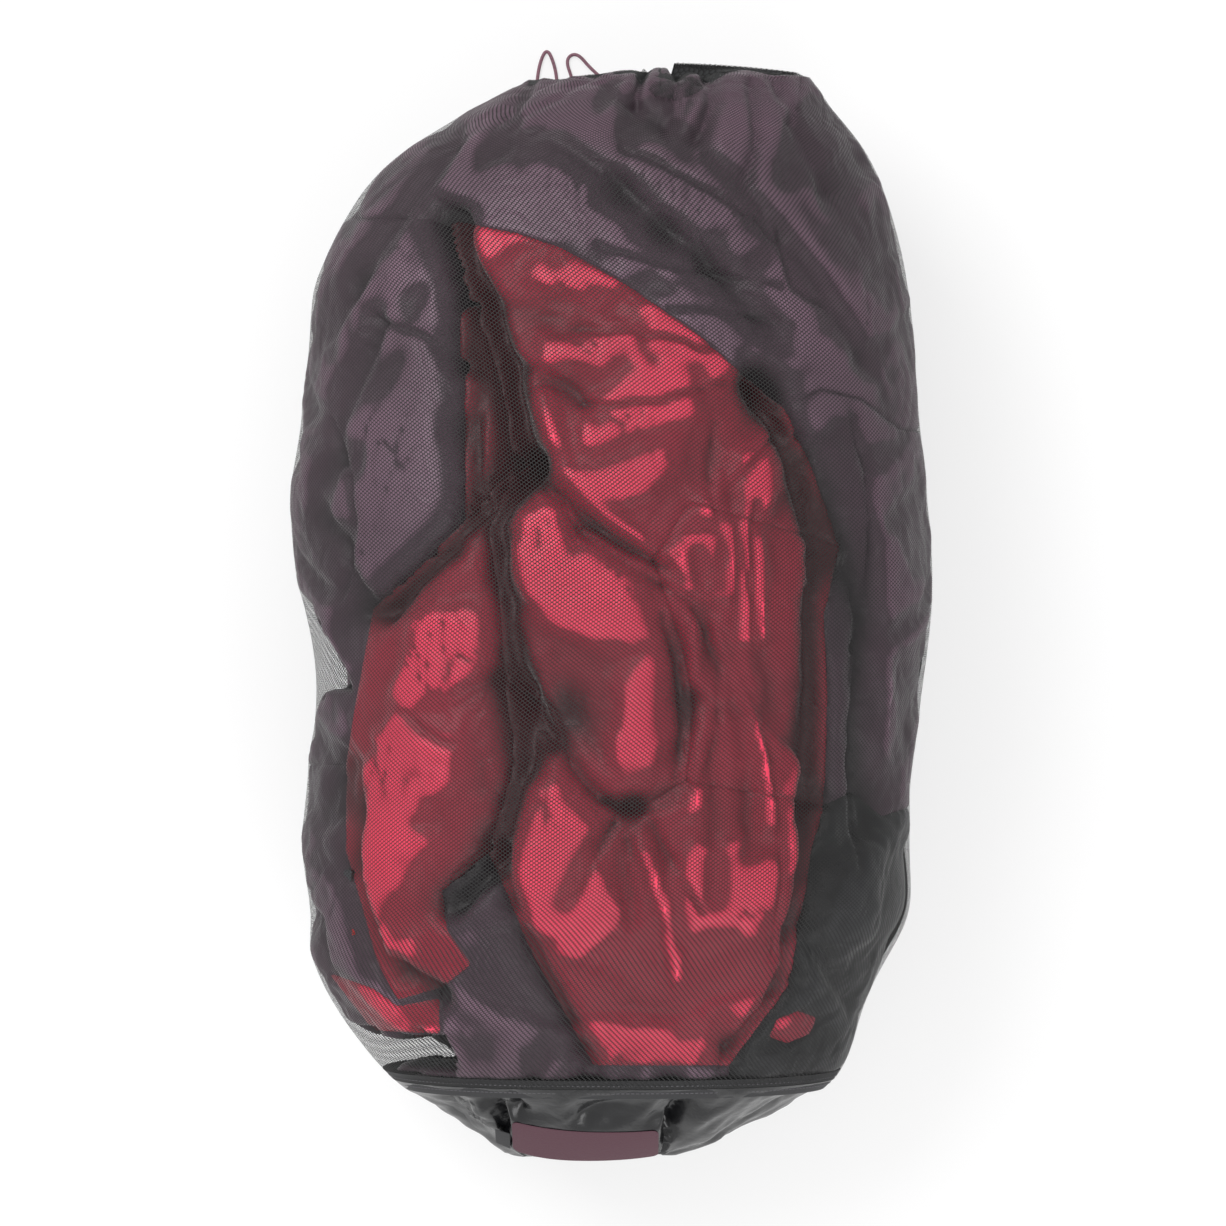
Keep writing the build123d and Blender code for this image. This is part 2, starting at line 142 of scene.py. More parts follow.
RIGHT_FLOOR = [
    (0.044, 0.318), (0.066, 0.301), (0.091, 0.284), (0.116, 0.263), (0.131, 0.239),
    (0.146, 0.226), (0.160, 0.236), (0.159, 0.261), (0.139, 0.284), (0.112, 0.303),
    (0.084, 0.319), (0.055, 0.332), (0.027, 0.337), (0.002, 0.341), (-0.014, 0.3540),
    (-0.0235, 0.3655), (-0.0310, 0.3610), (-0.0265, 0.3480), (-0.0233, 0.3362),
]


def tail_route(drop, floor):
    return drop + [(x, y, CORD_FLOOR) for x, y in floor]


left_tail = free_cord("drawcord_left", tail_route(LEFT_DROP, LEFT_FLOOR))
right_tail = free_cord("drawcord_right", tail_route(RIGHT_DROP, RIGHT_FLOOR))
for tail, side, pieces in ((left_tail, "left", ["drawcord_knot", "lock_body"]), (right_tail, "right", [])):
    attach(tail, "sack")
    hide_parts(f"drawcord_{side}_tail")
for name in ("drawcord_knot", "drawcord_ring"):
    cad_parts[name].material_slots[0].material = cord_material


# The sack's filled shape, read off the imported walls: points where they lie, along rays from a
# middle line that runs through the sack. Everything soft is set in from these points.
MIDDLE_Y = (-0.34, -0.20, 0.20, 0.34)
MIDDLE_X = (-0.020, 0.0, 0.0, 0.036)
MIDDLE_Z = (0.120, 0.130, 0.135, 0.168)
OUTSIDE = 0.5
RAY_SPREAD = 1.35  # rays lean sideways by this much, as the section is wider than it is high


def surface_tree(names):
    """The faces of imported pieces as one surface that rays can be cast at."""
    corners, faces = [], []
    for name in names:
        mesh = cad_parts[name].data
        first = len(corners)
        corners += [vertex.co.copy() for vertex in mesh.vertices]
        faces += [[first + index for index in face.vertices] for face in mesh.polygons]
    return BVHTree.FromPolygons(corners, faces)


WALLS = surface_tree(("mesh_body", "base_panel"))


OVERHANG_SLACK = 0.0075


def ways_in(points):
    """The way inwards from each point, towards the nearest place on the middle line."""
    y = np.clip(points[..., 1], -0.25, 0.26)
    middle = np.stack([np.interp(y, MIDDLE_Y, MIDDLE_X), y, np.interp(y, MIDDLE_Y, MIDDLE_Z)], -1)
    ways = middle - points
    return ways / np.linalg.norm(ways, axis=-1, keepdims=True)


def wall_points(along, turns):
    """Rows of points on the walls, and the way inwards from each, for places along and turns round."""
    points = np.empty((len(along), len(turns), 3))
    for row, y in enumerate(along):
        middle = Vector((np.interp(y, MIDDLE_Y, MIDDLE_X), y, np.interp(y, MIDDLE_Y, MIDDLE_Z)))
        for column, turn in enumerate(turns):
            out = Vector((RAY_SPREAD * np.cos(turn), 0, np.sin(turn))).normalized()
            hit = WALLS.ray_cast(middle + OUTSIDE * out, -out)[0]
            points[row, column] = hit if hit else middle
    near_end = np.clip((points[..., 1] - 0.27) / 0.07, 0, 1) ** 2
    high_up = np.clip((points[..., 2] - 0.12) / 0.08, 0, 1)
    points[..., 1] -= OVERHANG_SLACK * near_end * high_up
    return points, ways_in(points)


def plan(points):
    """Where points lie in plan, as read from above at the sack's mid height."""
    nearer = VIEW_DISTANCE / (VIEW_DISTANCE - (points[..., 2:] - MID_HEIGHT))
    return points[..., :2] * nearer


# How deep the stuffing lies under the walls. Each valley is a line in plan in millimetres with its
# depth, its width to the left and its width to the right as one walks along it.
VALLEYS = [
    ([(-107, 246), (-89, 196), (-72, 146), (-64, 109), (-61, 91)], 30, 9, 13),
    ([(-61, 93), (-90, 62), (-120, 30), (-150, 4)], 20, 8, 9),
    ([(-61, 93), (-78, 53), (-71, 9), (-67, -40), (-44, -78)], 19, 7, 7),
    ([(-66, -45), (-60, -88), (-78, -146), (-106, -178)], 22, 10, 12),
    ([(100, 138), (124, 92), (142, 43), (135, 9), (136, -53), (134, -115)], 19, 5, 11),
    ([(134, -112), (124, -171), (112, -230), (80, -272)], 15, 5, 8),
    ([(-78, -146), (-52, -208), (-12, -278)], 13, 5, 12),
    ([(-36, -60), (-26, -96), (-8, -116), (17, -119), (46, -104), (54, -55)], 11, 16, 5),
    ([(-61, 95), (-42, 84), (-8, 54), (26, 34), (42, -16), (49, -56)], 9, 4, 12),
    ([(54, 40), (62, -10), (62, -60), (68, -120), (66, -177)], 7, 4, 6),
    ([(76, 92), (72, 30), (78, -30), (92, -95), (88, -150)], 6, 3, 7),
    ([(112, 84), (103, 20), (100, -20), (112, -80), (108, -135)], 5, 3, 7),
    ([(-92, 196), (-60, 190), (-28, 178)], 5, 4, 6),
    ([(-78, 160), (-45, 150), (-10, 128)], 6, 3, 8),
    ([(-52, 100), (-20, 96), (20, 110), (50, 118)], 5, 3, 7),
    ([(14, -118), (8, -150), (12, -190)], 7, 3, 5),
    ([(18, -118), (38, -160), (44, -200)], 6, 3, 5),
    ([(10, -118), (-18, -152), (-30, -180)], 5, 3, 5),
    ([(98, 142), (104, 134)], 18, 10, 10),
    ([(-91, 160), (-93, 110), (-91, 66)], 14, 3, 9),
    ([(-33, 292), (10, 262), (54, 227), (104, 177)], 8, 6, 14),
    ([(17, 318), (60, 290), (91, 258), (130, 210), (158, 165)], 7, 5, 14),
    ([(-101, 292), (-151, 227), (-178, 177)], 9, 5, 12),
    ([(-146, 180), (-172, 121), (-182, 60), (-160, 10)], 8, 4, 12),
    ([(-165, -90), (-168, -146), (-150, -212), (-110, -236)], 14, 6, 9),
    ([(112, 120), (140, 90), (150, 40), (148, -20)], 6, 4, 8),
    ([(150, 60), (165, 0), (160, -70), (168, -130)], 9, 5, 10),
    ([(140, -150), (128, -200), (150, -235)], 9, 4, 8),
]
# Places where the stuffing leaves the walls empty: middle in plan, height, reach and depth
HOLLOWS = [
    ((-186, -22), 0.125, 30, 34), ((-183, -60), 0.120, 20, 16), ((-132, -262), 0.10, 30, 26),
    ((-158, -200), 0.10, 22, 10), ((-148, -242), 0.16, 34, 7),
]


def line_distance(where, line):
    """Distance in millimetres from a line in plan, negative on its left side."""
    nearest = np.full(where.shape[:-1], 1e9)
    signed = nearest.copy()
    for start, end in zip(line, line[1:]):
        start, run = np.array(start, float), np.subtract(end, start).astype(float)
        rest = where - start
        share = np.clip((rest @ run) / (run @ run), 0, 1)
        off = rest - share[..., None] * run
        length = np.linalg.norm(off, axis=-1)
        side = np.where(run[0] * rest[..., 1] - run[1] * rest[..., 0] > 0, -1, 1)
        closer = length < nearest
        nearest = np.where(closer, length, nearest)
        signed = np.where(closer, side * length, signed)
    return signed


def inside_distance(where, outline):
    """Distance in millimetres inside a closed outline in plan, negative outside it."""
    closed = outline + outline[:1]
    distance = np.abs(line_distance(where, closed))
    inside = np.zeros(where.shape[:-1], bool)
    for (x0, y0), (x1, y1) in zip(closed, closed[1:]):
        if y0 == y1:
            continue
        spans = (where[..., 1] > min(y0, y1)) & (where[..., 1] <= max(y0, y1))
        crossing = x0 + (where[..., 1] - y0) * (x1 - x0) / (y1 - y0)
        inside ^= spans & (where[..., 0] < crossing)
    return np.where(inside, distance, -distance)


def rumple(where, wavelength, seed):
    """A smooth uneven field from -1 to 1, the same each run."""
    random = np.random.default_rng(seed)
    total = np.zeros(where.shape[:-1])
    for _ in range(7):
        turn, phase = random.uniform(0, 2 * np.pi, 2)
        length = wavelength * random.uniform(0.7, 1.5)
        across = where[..., 0] * np.cos(turn) + where[..., 1] * np.sin(turn)
        total += np.sin(2 * np.pi * across / length + phase)
    return total / 4


# Where the mouth is drawn shut, and the pleats that run from it into the mesh and the stuffing:
# a fan of small ones, and single large ones as lines in plan with depth and widths as above.
MOUTH = np.array((0.024, 0.3247, 0.104))
MOUTH_NORMAL = np.array((0, 0.8835, -0.4685))
PLEAT_COUNT, PLEAT_DEPTH, PLEAT_REACH = 24, 7.0, 0.075
LARGE_PLEATS = [
    ([(62, 345), (66, 318), (58, 296)], 10, 6, 8),
    ([(22, 345), (20, 332), (14, 318)], 7, 3, 4),
    ([(-20, 345), (-60, 318), (-101, 289)], 5, 4, 6),
    ([(0, 345), (-30, 322), (-62, 304)], 5, 3, 5),
    ([(44, 345), (42, 320), (34, 296)], 5, 3, 4),
    ([(88, 330), (92, 300), (88, 270)], 6, 4, 6),
    ([(100, 335), (122, 300), (140, 262)], 5, 4, 6),
]


def pleat_depth(points):
    """How far the drawn mouth's pleats pull the cloth in, in metres."""
    across = np.array((1.0, 0, 0))
    down = np.cross(MOUTH_NORMAL, across)
    off = points - MOUTH
    turn = np.arctan2(off @ down, off @ across)
    far = np.linalg.norm(off, axis=-1)
    uneven = 0.8 * np.sin(3 * turn + 1) + 0.6 * np.sin(5 * turn + 2.2) + 9 * far
    fan = 0.5 + 0.5 * np.cos(PLEAT_COUNT * turn + uneven)
    depth = PLEAT_DEPTH * np.exp(-(far / PLEAT_REACH) ** 2) * fan
    where = plan(points) * 1000
    upper = np.clip((points[..., 2] - 0.09) / 0.05, 0, 1)
    for line, deep, left, right in LARGE_PLEATS:
        signed = line_distance(where, line)
        wide = np.where(signed < 0, left, right)
        depth += upper * deep * np.exp(-(np.abs(signed) / wide) ** 2)
    return depth / 1000


# Where a fold swells out and presses flat against the mesh: the middle of each swell in plan, its
# half length and half width in millimetres, and its turn in degrees. Thin ridges reach the mesh
# too, each a bowed line: where it starts and ends, and how far its middle stands to the left.
# Between them a fold stands off the mesh by up to STAND_OFF millimetres.
STAND_OFF, STAND_SLOPE, RIDGE_HALF = 6.5, 0.9, 2.0
SWELLS = [
    ((15, 115), 50, 30, 60), ((-15, 165), 30, 12, 10), ((100, 95), 30, 18, 60),
    ((50, 170), 30, 10, -30), ((-15, 210), 25, 10, 0), ((-50, 45), 25, 10, 60),
    ((-10, 10), 45, 30, -10), ((20, -60), 50, 18, 80), ((60, 25), 25, 12, -50),
    ((55, -75), 30, 6, 80), ((-105, -25), 40, 22, 40), ((-135, -110), 55, 24, 70),
    ((-40, -155), 60, 30, -60), ((70, -170), 35, 22, 20), ((20, -265), 40, 10, 0),
    ((115, -125), 40, 7, 90), ((-135, 90), 75, 35, 80), ((-135, 225), 30, 18, 80),
    ((85, 175), 45, 12, -20), ((130, 130), 30, 15, 80), ((10, 225), 50, 10, -20),
    ((75, 238), 25, 9, 0),
]
RIDGES = [
    ((-45, 135), (25, 40), -15), ((60, 65), (75, 90), 0), ((70, 65), (80, -15), 3),
    ((85, 60), (95, -15), 3), ((-30, -75), (50, -95), -25), ((70, -5), (100, -130), 6),
    ((20, -150), (40, -225), 4), ((50, -5), (45, -60), 4), ((-105, 45), (-80, 70), 0),
]
# The oval in plan that the swells fill; beyond it the folds touch the mesh unevenly
SWELLS_MIDDLE, SWELLS_HALF = (0, -15), (175, 265)


def oval_distance(where, middle, half_length, half_width, turn):
    """Distance in millimetres inside an oval in plan, true near its long sides, negative outside."""
    turn = np.radians(turn)
    off = where - np.array(middle, float)
    along = off[..., 0] * np.cos(turn) + off[..., 1] * np.sin(turn)
    across = off[..., 1] * np.cos(turn) - off[..., 0] * np.sin(turn)
    return (1 - np.hypot(along / half_length, across / half_width)) * half_width


def bowed_line(start, end, bow):
    """Points of a line in plan whose middle stands off to the left by the bow."""
    start, run = np.array(start, float), np.subtract(end, start).astype(float)
    left = np.array((-run[1], run[0])) / np.hypot(*run)
    return [tuple(start + share * run + 4 * share * (1 - share) * bow * left)
            for share in np.linspace(0, 1, 7)]


def touching_distance(where):
    """Distance in millimetres inside the nearest swell or ridge, negative outside them."""
    uneven = [7 * rumple(where, 45, seed) + 2.5 * rumple(where, 16, seed + 2) for seed in (21, 22)]
    ragged = where + np.stack(uneven, -1)
    nearest = np.full(where.shape[:-1], -1e9)
    for middle, half_length, half_width, turn in SWELLS:
        nearest = np.maximum(nearest, oval_distance(ragged, middle, half_length, half_width, turn))
    for start, end, bow in RIDGES:
        off = np.abs(line_distance(where, bowed_line(start, end, bow)))
        nearest = np.maximum(nearest, RIDGE_HALF - off)
    return nearest


def stuffing_depth(points):
    """How far the stuffing lies inside the walls at each point, in metres."""
    where = plan(points) * 1000
    upper = np.clip((points[..., 2] - 0.10) / 0.05, 0, 1)
    around = where + points[..., 2:] * 400
    loose = 6 * rumple(around, 75, 3) + 5 * rumple(around, 34, 8)
    off_middle = (where - np.array(SWELLS_MIDDLE)) / np.array(SWELLS_HALF)
    swollen = np.clip(8 * (1 - np.linalg.norm(off_middle, axis=-1)), 0, 1) * upper
    outside = (1 - swollen) * loose - swollen * touching_distance(where)
    depth = 0.8 + np.clip(STAND_SLOPE * outside, 0, STAND_OFF)
    for line, deep, left, right in VALLEYS:
        signed = line_distance(where, line)
        wide = np.where(signed < 0, left, right)
        depth += upper * deep * np.exp(-(np.abs(signed) / wide) ** 1.5)
    for middle, height, reach, deep in HOLLOWS:
        off = np.linalg.norm(where - np.array(middle), axis=-1) / reach
        level = (points[..., 2] - height) * 1000 / (1.6 * reach)
        depth += deep * np.exp(-off**4 - level**4)
    return np.maximum(depth, 1.2) / 1000 + pleat_depth(points)


# Sharp creases in the folds' cloth, as bowed lines, with their depth and half width in millimetres
CREASE_DEPTH, CREASE_HALF = 4.0, 2.1
CREASES = [
    ((-55, 95), (50, 10), -12), ((-40, 80), (35, 30), -6), ((-35, 175), (60, 165), 6),
    ((-20, 130), (70, 145), -4), ((65, 120), (65, 60), -5), ((75, 80), (105, 115), 0),
    ((75, 75), (75, -15), 4), ((90, 70), (90, -20), -4), ((30, 0), (40, -100), 6),
    ((50, 5), (55, -105), 14), ((70, -10), (100, -210), 18), ((-130, -60), (-100, -80), -4),
    ((-5, -115), (55, -95), -16), ((10, -140), (35, -230), 4), ((0, -130), (-25, -175), 0),
    ((25, -130), (55, -185), 0), ((-10, 230), (105, 205), -4), ((35, 190), (110, 180), 3),
    ((105, 240), (130, 190), -8), ((-150, 185), (-95, 155), 4), ((-175, 120), (-170, 10), 10),
    ((5, 290), (105, 230), 6), ((150, 120), (150, -20), 12), ((165, 10), (155, -155), -12),
]


def crease_depth(points):
    """How far the sharp creases cut into a fold, in metres."""
    where = plan(points) * 1000
    where = where + 1.2 * rumple(where, 22, 31)[..., None]
    depth = np.zeros(where.shape[:-1])
    for start, end, bow in CREASES:
        off = np.abs(line_distance(where, bowed_line(start, end, bow))) / CREASE_HALF
        depth = np.maximum(depth, CREASE_DEPTH * np.exp(-off**1.6))
    tension = rumple(where * (1.0, 0.33), 17, 41) + 0.4 * rumple(where, 60, 43)
    shown = np.clip(rumple(where, 70, 47) * 2, 0, 1)
    depth = np.maximum(depth, 1.4 * shown * np.exp(-np.abs(tension) / 0.10))
    upper = np.clip((points[..., 2] - 0.09) / 0.04, 0.4, 1)
    return upper * depth / 1000


# The stuffed bag's folds: quilted down-proof nylon, crimson on one face and dark aubergine on the
# other, pressed against the mesh. Each is cut from the stuffing's surface along its outline, with
# an overlap that dives under its neighbours, then settled as cloth.
CRIMSON = (0.80, 0.036, 0.095)
AUBERGINE = (0.17, 0.092, 0.135)
CROWN = [(-107, 246), (-60, 237), (-33, 228), (4, 208), (54, 174), (88, 143), (107, 128)]
RIGHT_EDGE = [(142, 43), (132, 0), (134, -53), (132, -118)]
LOWER_RIGHT = [(124, -146), (121, -171), (110, -230), (73, -280)]
HANGING_TOP = [(-61, 95), (-42, 84), (-8, 54), (26, 34)]
HANGING_RIM = [(42, -16), (50, -53), (46, -103), (17, -119), (-8, -116), (-26, -96), (-36, -60)]
LEFT_VALLEY = [(-89, 196), (-70, 146), (-61, 93)]
MIDDLE_VALLEY = [(-61, 93), (-78, 53), (-71, 9), (-67, -40)]
LOWER_LEFT = [(-62, -92), (-78, -146), (-52, -208), (-12, -280)]
LEFT_TOP = [(-92, 60), (-120, 30), (-150, 4), (-162, -60), (-167, -93)]
LEFT_FOOT = [(-167, -146), (-148, -214), (-135, -239), (-107, -231), (-89, -217), (-104, -196),
             (-107, -172)]
FAR = 300
SHOULDER = [(107, 128), (130, 140), (155, 134), (180, 115), (FAR, 110)]
POUCH_TOP = [(132, -118), (150, -110), (168, -125), (190, -118), (FAR, -118)]
FOLDS = {
    "crimson_upper": CROWN + [(126, 88)] + RIGHT_EDGE[:1] + [(48, 71)] + HANGING_TOP[::-1]
    + LEFT_VALLEY[::-1],
    "crimson_hanging": HANGING_TOP + HANGING_RIM + [(-67, -40), (-71, 9), (-78, 53)],
    "crimson_right": [(26, 34), (48, 71)] + RIGHT_EDGE + [(46, -103), (50, -53), (42, -16)],
    "crimson_lower": [(-36, -60), (-26, -96), (-8, -116), (17, -119), (46, -103), (132, -118)]
    + LOWER_RIGHT + LOWER_LEFT[::-1] + [(-67, -40)],
    "crimson_left": [(-92, 60), (-61, 93)] + MIDDLE_VALLEY[1:] + LOWER_LEFT[:2]
    + LEFT_FOOT[::-1] + LEFT_TOP[:0:-1],
    "crimson_small": [(-97, 190), (-82, 178), (-70, 146), (-61, 93), (-92, 60), (-92, 120)],
    "dark_left": [(-107, 246), (-97, 190), (-92, 120), (-92, 60)] + LEFT_TOP[1:]
    + [(-FAR, -93), (-FAR, 246)],
    "dark_top": [(-FAR, 246)] + CROWN + SHOULDER[1:] + [(FAR, FAR + 80), (-FAR, FAR + 80)],
    "dark_right": [(107, 128), (126, 88)] + RIGHT_EDGE + POUCH_TOP[1:] + SHOULDER[:0:-1],
    "black_pouch": POUCH_TOP[:1] + LOWER_RIGHT + [(73, -FAR), (FAR, -FAR)] + POUCH_TOP[:0:-1],
    "dark_lower": LOWER_LEFT[1:] + [(73, -280), (73, -FAR), (-107, -FAR)] + LEFT_FOOT[3:],
    "dark_corner": LEFT_FOOT[:4] + [(-107, -FAR), (-FAR, -FAR), (-FAR, -93), (-167, -93)],
}


FOLD_SPACING = 0.005
OVERLAP, ROLL_WIDTH, ROLL_DEPTH, ROLL_LIMIT = 11, 3.5, 1.3, 16
FOLD_THICKNESS = 0.030
FOLD_TURNS = np.linspace(-np.pi / 2, 1.5 * np.pi, 216, endpoint=False)
FOLD_ALONG = np.concatenate([
    np.arange(-0.2845, 0.295, FOLD_SPACING), 0.3355 - 0.0405 * np.linspace(1, 0, 18) ** 2])
CAP_ROWS = 8


def with_cap(points, inwards, end_y, rows=CAP_ROWS):
    """Rows of wall points, carried on over the blunt end to its middle."""
    middle = points[-1].mean(0)
    more = []
    for row in range(1, rows + 1):
        share = 0.97 * row / rows
        ring = middle + (points[-1] - middle) * (1 - share)
        ring[:, 1] = points[-1, :, 1] + (end_y - points[-1, :, 1]) * (1 - (1 - share) ** 2)
        more.append(ring)
    more = np.array(more)
    return np.concatenate([points, more]), np.concatenate([inwards, ways_in(more)])


# Small crimson patches let into a darker fold, and places with no stuffing at all, in plan
INSETS = {
    "crimson_band": ("dark_corner", [(-178, -222), (-150, -232), (-135, -243), (-109, -238), (-109, -260),
                                     (-150, -258)]),
    "crimson_patch": ("black_pouch", [(98, -262), (103, -251), (116, -246), (128, -250), (124, -260),
                                      (109, -266)]),
}
WINDOWS = [
    [(-198, 4), (-187, -2), (-180, -16), (-166, -41), (-182, -46), (-200, -42)],
    [(-158, -257), (-140, -266), (-122, -262), (-102, -268), (-106, -284), (-140, -276)],
]


def roll(distance):
    """An outline's rolled edge, deeper the further out, in metres."""
    past = np.clip((ROLL_WIDTH - distance) / ROLL_WIDTH, 0, None)
    return np.minimum(ROLL_DEPTH * past**2, ROLL_LIMIT) / 1000


skin, skin_in = with_cap(*wall_points(FOLD_ALONG, FOLD_TURNS), 0.3375)
skin_depth = stuffing_depth(skin)


def patch_faces(mask):
    """Faces of the grid whose corners are all in the mask, as corner numbers of the whole grid."""
    rows, columns = mask.shape
    number = np.arange(rows * columns).reshape(rows, columns)
    right, up = np.roll(number, -1, 1), np.roll(number, -1, 0)
    across = np.roll(right, -1, 0)
    full = mask & np.roll(mask, -1, 1) & np.roll(mask, -1, 0) & np.roll(np.roll(mask, -1, 0), -1, 1)
    full[-1] = False
    return np.stack([number[full], right[full], across[full], up[full]], 1)


def new_object(name, corners, faces, material=None):
    mesh = bpy.data.meshes.new(name)
    mesh.from_pydata(np.asarray(corners).tolist(), [], np.asarray(faces).tolist())
    mesh.polygons.foreach_set("use_smooth", [True] * len(mesh.polygons))
    if material:
        mesh.materials.append(material)
    made = bpy.data.objects.new(name, mesh)
    bpy.context.scene.collection.objects.link(made)
    return made


def corners_of(mesh):
    flat = np.empty(len(mesh.vertices) * 3)
    mesh.vertices.foreach_get("co", flat)
    return flat.reshape(-1, 3)


def rim_edges(faces):
    """Edges that only one face uses, each in that face's own direction."""
    edges = np.concatenate([faces[:, [k, (k + 1) % 4]] for k in range(4)])
    order = np.sort(edges, 1)
    _, first, uses = np.unique(order, axis=0, return_index=True, return_counts=True)
    return edges[first[uses == 1]]


# The stuffing settles as one loose cloth with pinned ends: it grows a little, so it buckles into
# wrinkles, and what stands out past the walls is then pressed flat against them.
GROWTH = 0.035
SETTLE_FRAMES = 14
SETTLE_CAP = 0.006
PRESSED_DEPTH = 0.0009


def settle(corners, faces):
    """The cloth's corners after it has buckled, moved no further than the cap."""
    unevenness = np.random.default_rng(11).normal(0, 0.00012, corners.shape)
    cloth = new_object("settling_cloth", corners + unevenness, faces)
    pins = cloth.vertex_groups.new(name="pinned")
    pins.add(np.unique(rim_edges(faces)).tolist(), 1.0, "REPLACE")
    settling = cloth.modifiers.new("settling", "CLOTH")
    rules = settling.settings
    rules.quality = 5
    rules.mass = 0.05
    rules.tension_stiffness = rules.compression_stiffness = 15
    rules.shear_stiffness = 5
    rules.bending_stiffness = 0.03
    rules.vertex_group_mass = "pinned"
    rules.shrink_min = -GROWTH
    rules.effector_weights.gravity = 0
    settling.collision_settings.use_collision = False
    scene = bpy.context.scene
    for frame_number in range(1, SETTLE_FRAMES + 1):
        scene.frame_set(frame_number)
    settled = cloth.evaluated_get(bpy.context.evaluated_depsgraph_get()).to_mesh()
    moved = corners_of(settled) - corners
    scene.frame_set(1)
    bpy.data.objects.remove(cloth)
    length = np.linalg.norm(moved, axis=1, keepdims=True)
    touching = np.clip(touching_distance(plan(corners) * 1000) / 5, 0, 0.9) * (corners[:, 2] > 0.12)
    return corners + moved * np.minimum(1, SETTLE_CAP / np.maximum(length, 1e-9)) * (1 - touching)[:, None]


skin_corners, skin_inwards = skin.reshape(-1, 3), skin_in.reshape(-1, 3)
settled = skin_corners + skin_inwards * skin_depth.reshape(-1)[:, None]
settled = settle(settled, patch_faces(np.ones(skin.shape[:2], bool)))
pressed = ((settled - skin_corners) * skin_inwards).sum(1)
settled += skin_inwards * np.maximum(PRESSED_DEPTH - pressed, 0)[:, None]


settled_plan = plan(settled) * 1000
low_share = (np.sin(FOLD_TURNS)[None, :] * np.ones(skin.shape[:2])).reshape(-1)


def fold_distance(name, where):
    """Distance in millimetres inside a top fold's edge in plan, its insets left out."""
    distance = inside_distance(where, INSETS[name][1] if name in INSETS else FOLDS[name])
    for host, outline in INSETS.values():
        if host == name:
            distance = np.minimum(distance, -inside_distance(where, outline))
    return distance


masks = {}
for name in [*FOLDS, *INSETS]:
    distance = np.minimum(fold_distance(name, settled_plan), (low_share + 0.22) * 150)
    masks[name] = distance > -OVERLAP
BACK_FOLDS = {"back_foot": (-400, -102), "back_middle": (-102, 102), "back_head": (102, 400)}
for name, (low_y, high_y) in BACK_FOLDS.items():
    distance = np.minimum(settled[:, 1] * 1000 - low_y, high_y - settled[:, 1] * 1000)
    masks[name] = np.minimum(distance, (-0.12 - low_share) * 150) > -OVERLAP
for outline in WINDOWS:
    for name, mask in masks.items():
        masks[name] = mask & (inside_distance(settled_plan, outline) < 0)


# Shares of the colour left by the painted shade: where a fold stands off the mesh, and where it lies deep
# under it
PAINTED_SHADE_SHARE, DEEP_PAINTED_SHADE_SHARE = 0.5, 0.15


def nylon_material(name, colour, dark_share):
    """Fine ripstop-free nylon: a satin face with a faint weave, small creases and uneven tone, with painted
    shade darkening it where it stands off the mesh and more where it lies deep under it.
    """
    material, tree, shader = new_material(name, colour, 0.48)
    shader.inputs["Sheen Weight"].default_value = 0.25
    shader.inputs["Sheen Roughness"].default_value = 0.4
    where = node(tree, "ShaderNodeTexCoord")
    creases = node(tree, "ShaderNodeTexNoise")
    creases.inputs["Scale"].default_value = 55
    creases.inputs["Detail"].default_value = 5
    creases.inputs["Distortion"].default_value = 1.2
    tone = node(tree, "ShaderNodeTexNoise")
    tone.inputs["Scale"].default_value = 14
    tone.inputs["Detail"].default_value = 3
    tint = node(tree, "ShaderNodeValToRGB")
    tint.color_ramp.elements[0].position = 0.3
    tint.color_ramp.elements[0].color = (*[c * dark_share for c in colour], 1)
    tint.color_ramp.elements[1].position = 0.7
    tint.color_ramp.elements[1].color = (*colour, 1)
    bump = node(tree, "ShaderNodeBump")
    bump.inputs["Distance"].default_value = 0.004
    bump.inputs["Strength"].default_value = 0.5
    for texture in (creases, tone):
        tree.links.new(where.outputs["Object"], texture.inputs["Vector"])
    tree.links.new(tone.outputs["Fac"], tint.inputs["Fac"])
    # Painted shade: the colour is scaled down where the fold stands off the mesh (the stand_off layout's
    # first value) and further where it lies deep under it in valleys (its second value)
    layout = node(tree, "ShaderNodeUVMap", uv_map="stand_off")
    split = node(tree, "ShaderNodeSeparateXYZ")
    stand_off_painted_shade = node(tree, "ShaderNodeMapRange", interpolation_type="SMOOTHSTEP")
    stand_off_painted_shade.inputs["From Min"].default_value = 0.25
    stand_off_painted_shade.inputs["From Max"].default_value = 0.75
    stand_off_painted_shade.inputs["To Min"].default_value = 1.0
    stand_off_painted_shade.inputs["To Max"].default_value = PAINTED_SHADE_SHARE
    shade = node(tree, "ShaderNodeVectorMath", operation="SCALE")
    tree.links.new(layout.outputs["UV"], split.inputs["Vector"])
    tree.links.new(split.outputs["X"], stand_off_painted_shade.inputs["Value"])
    deep_gap_painted_shade = node(tree, "ShaderNodeMapRange", interpolation_type="SMOOTHSTEP")
    deep_gap_painted_shade.inputs["From Min"].default_value = 0.2
    deep_gap_painted_shade.inputs["From Max"].default_value = 0.95
    deep_gap_painted_shade.inputs["To Min"].default_value = 1.0
    deep_gap_painted_shade.inputs["To Max"].default_value = DEEP_PAINTED_SHADE_SHARE
    total_painted_shade = node(tree, "ShaderNodeMath", operation="MULTIPLY")
    tree.links.new(split.outputs["Y"], deep_gap_painted_shade.inputs["Value"])
    tree.links.new(stand_off_painted_shade.outputs["Result"], total_painted_shade.inputs[0])
    tree.links.new(deep_gap_painted_shade.outputs["Result"], total_painted_shade.inputs[1])
    tree.links.new(tint.outputs["Color"], shade.inputs["Vector"])
    tree.links.new(total_painted_shade.outputs[0], shade.inputs["Scale"])
    tree.links.new(shade.outputs["Vector"], shader.inputs["Base Color"])
    tree.links.new(creases.outputs["Fac"], bump.inputs["Height"])
    tree.links.new(bump.outputs["Normal"], shader.inputs["Normal"])
    return material


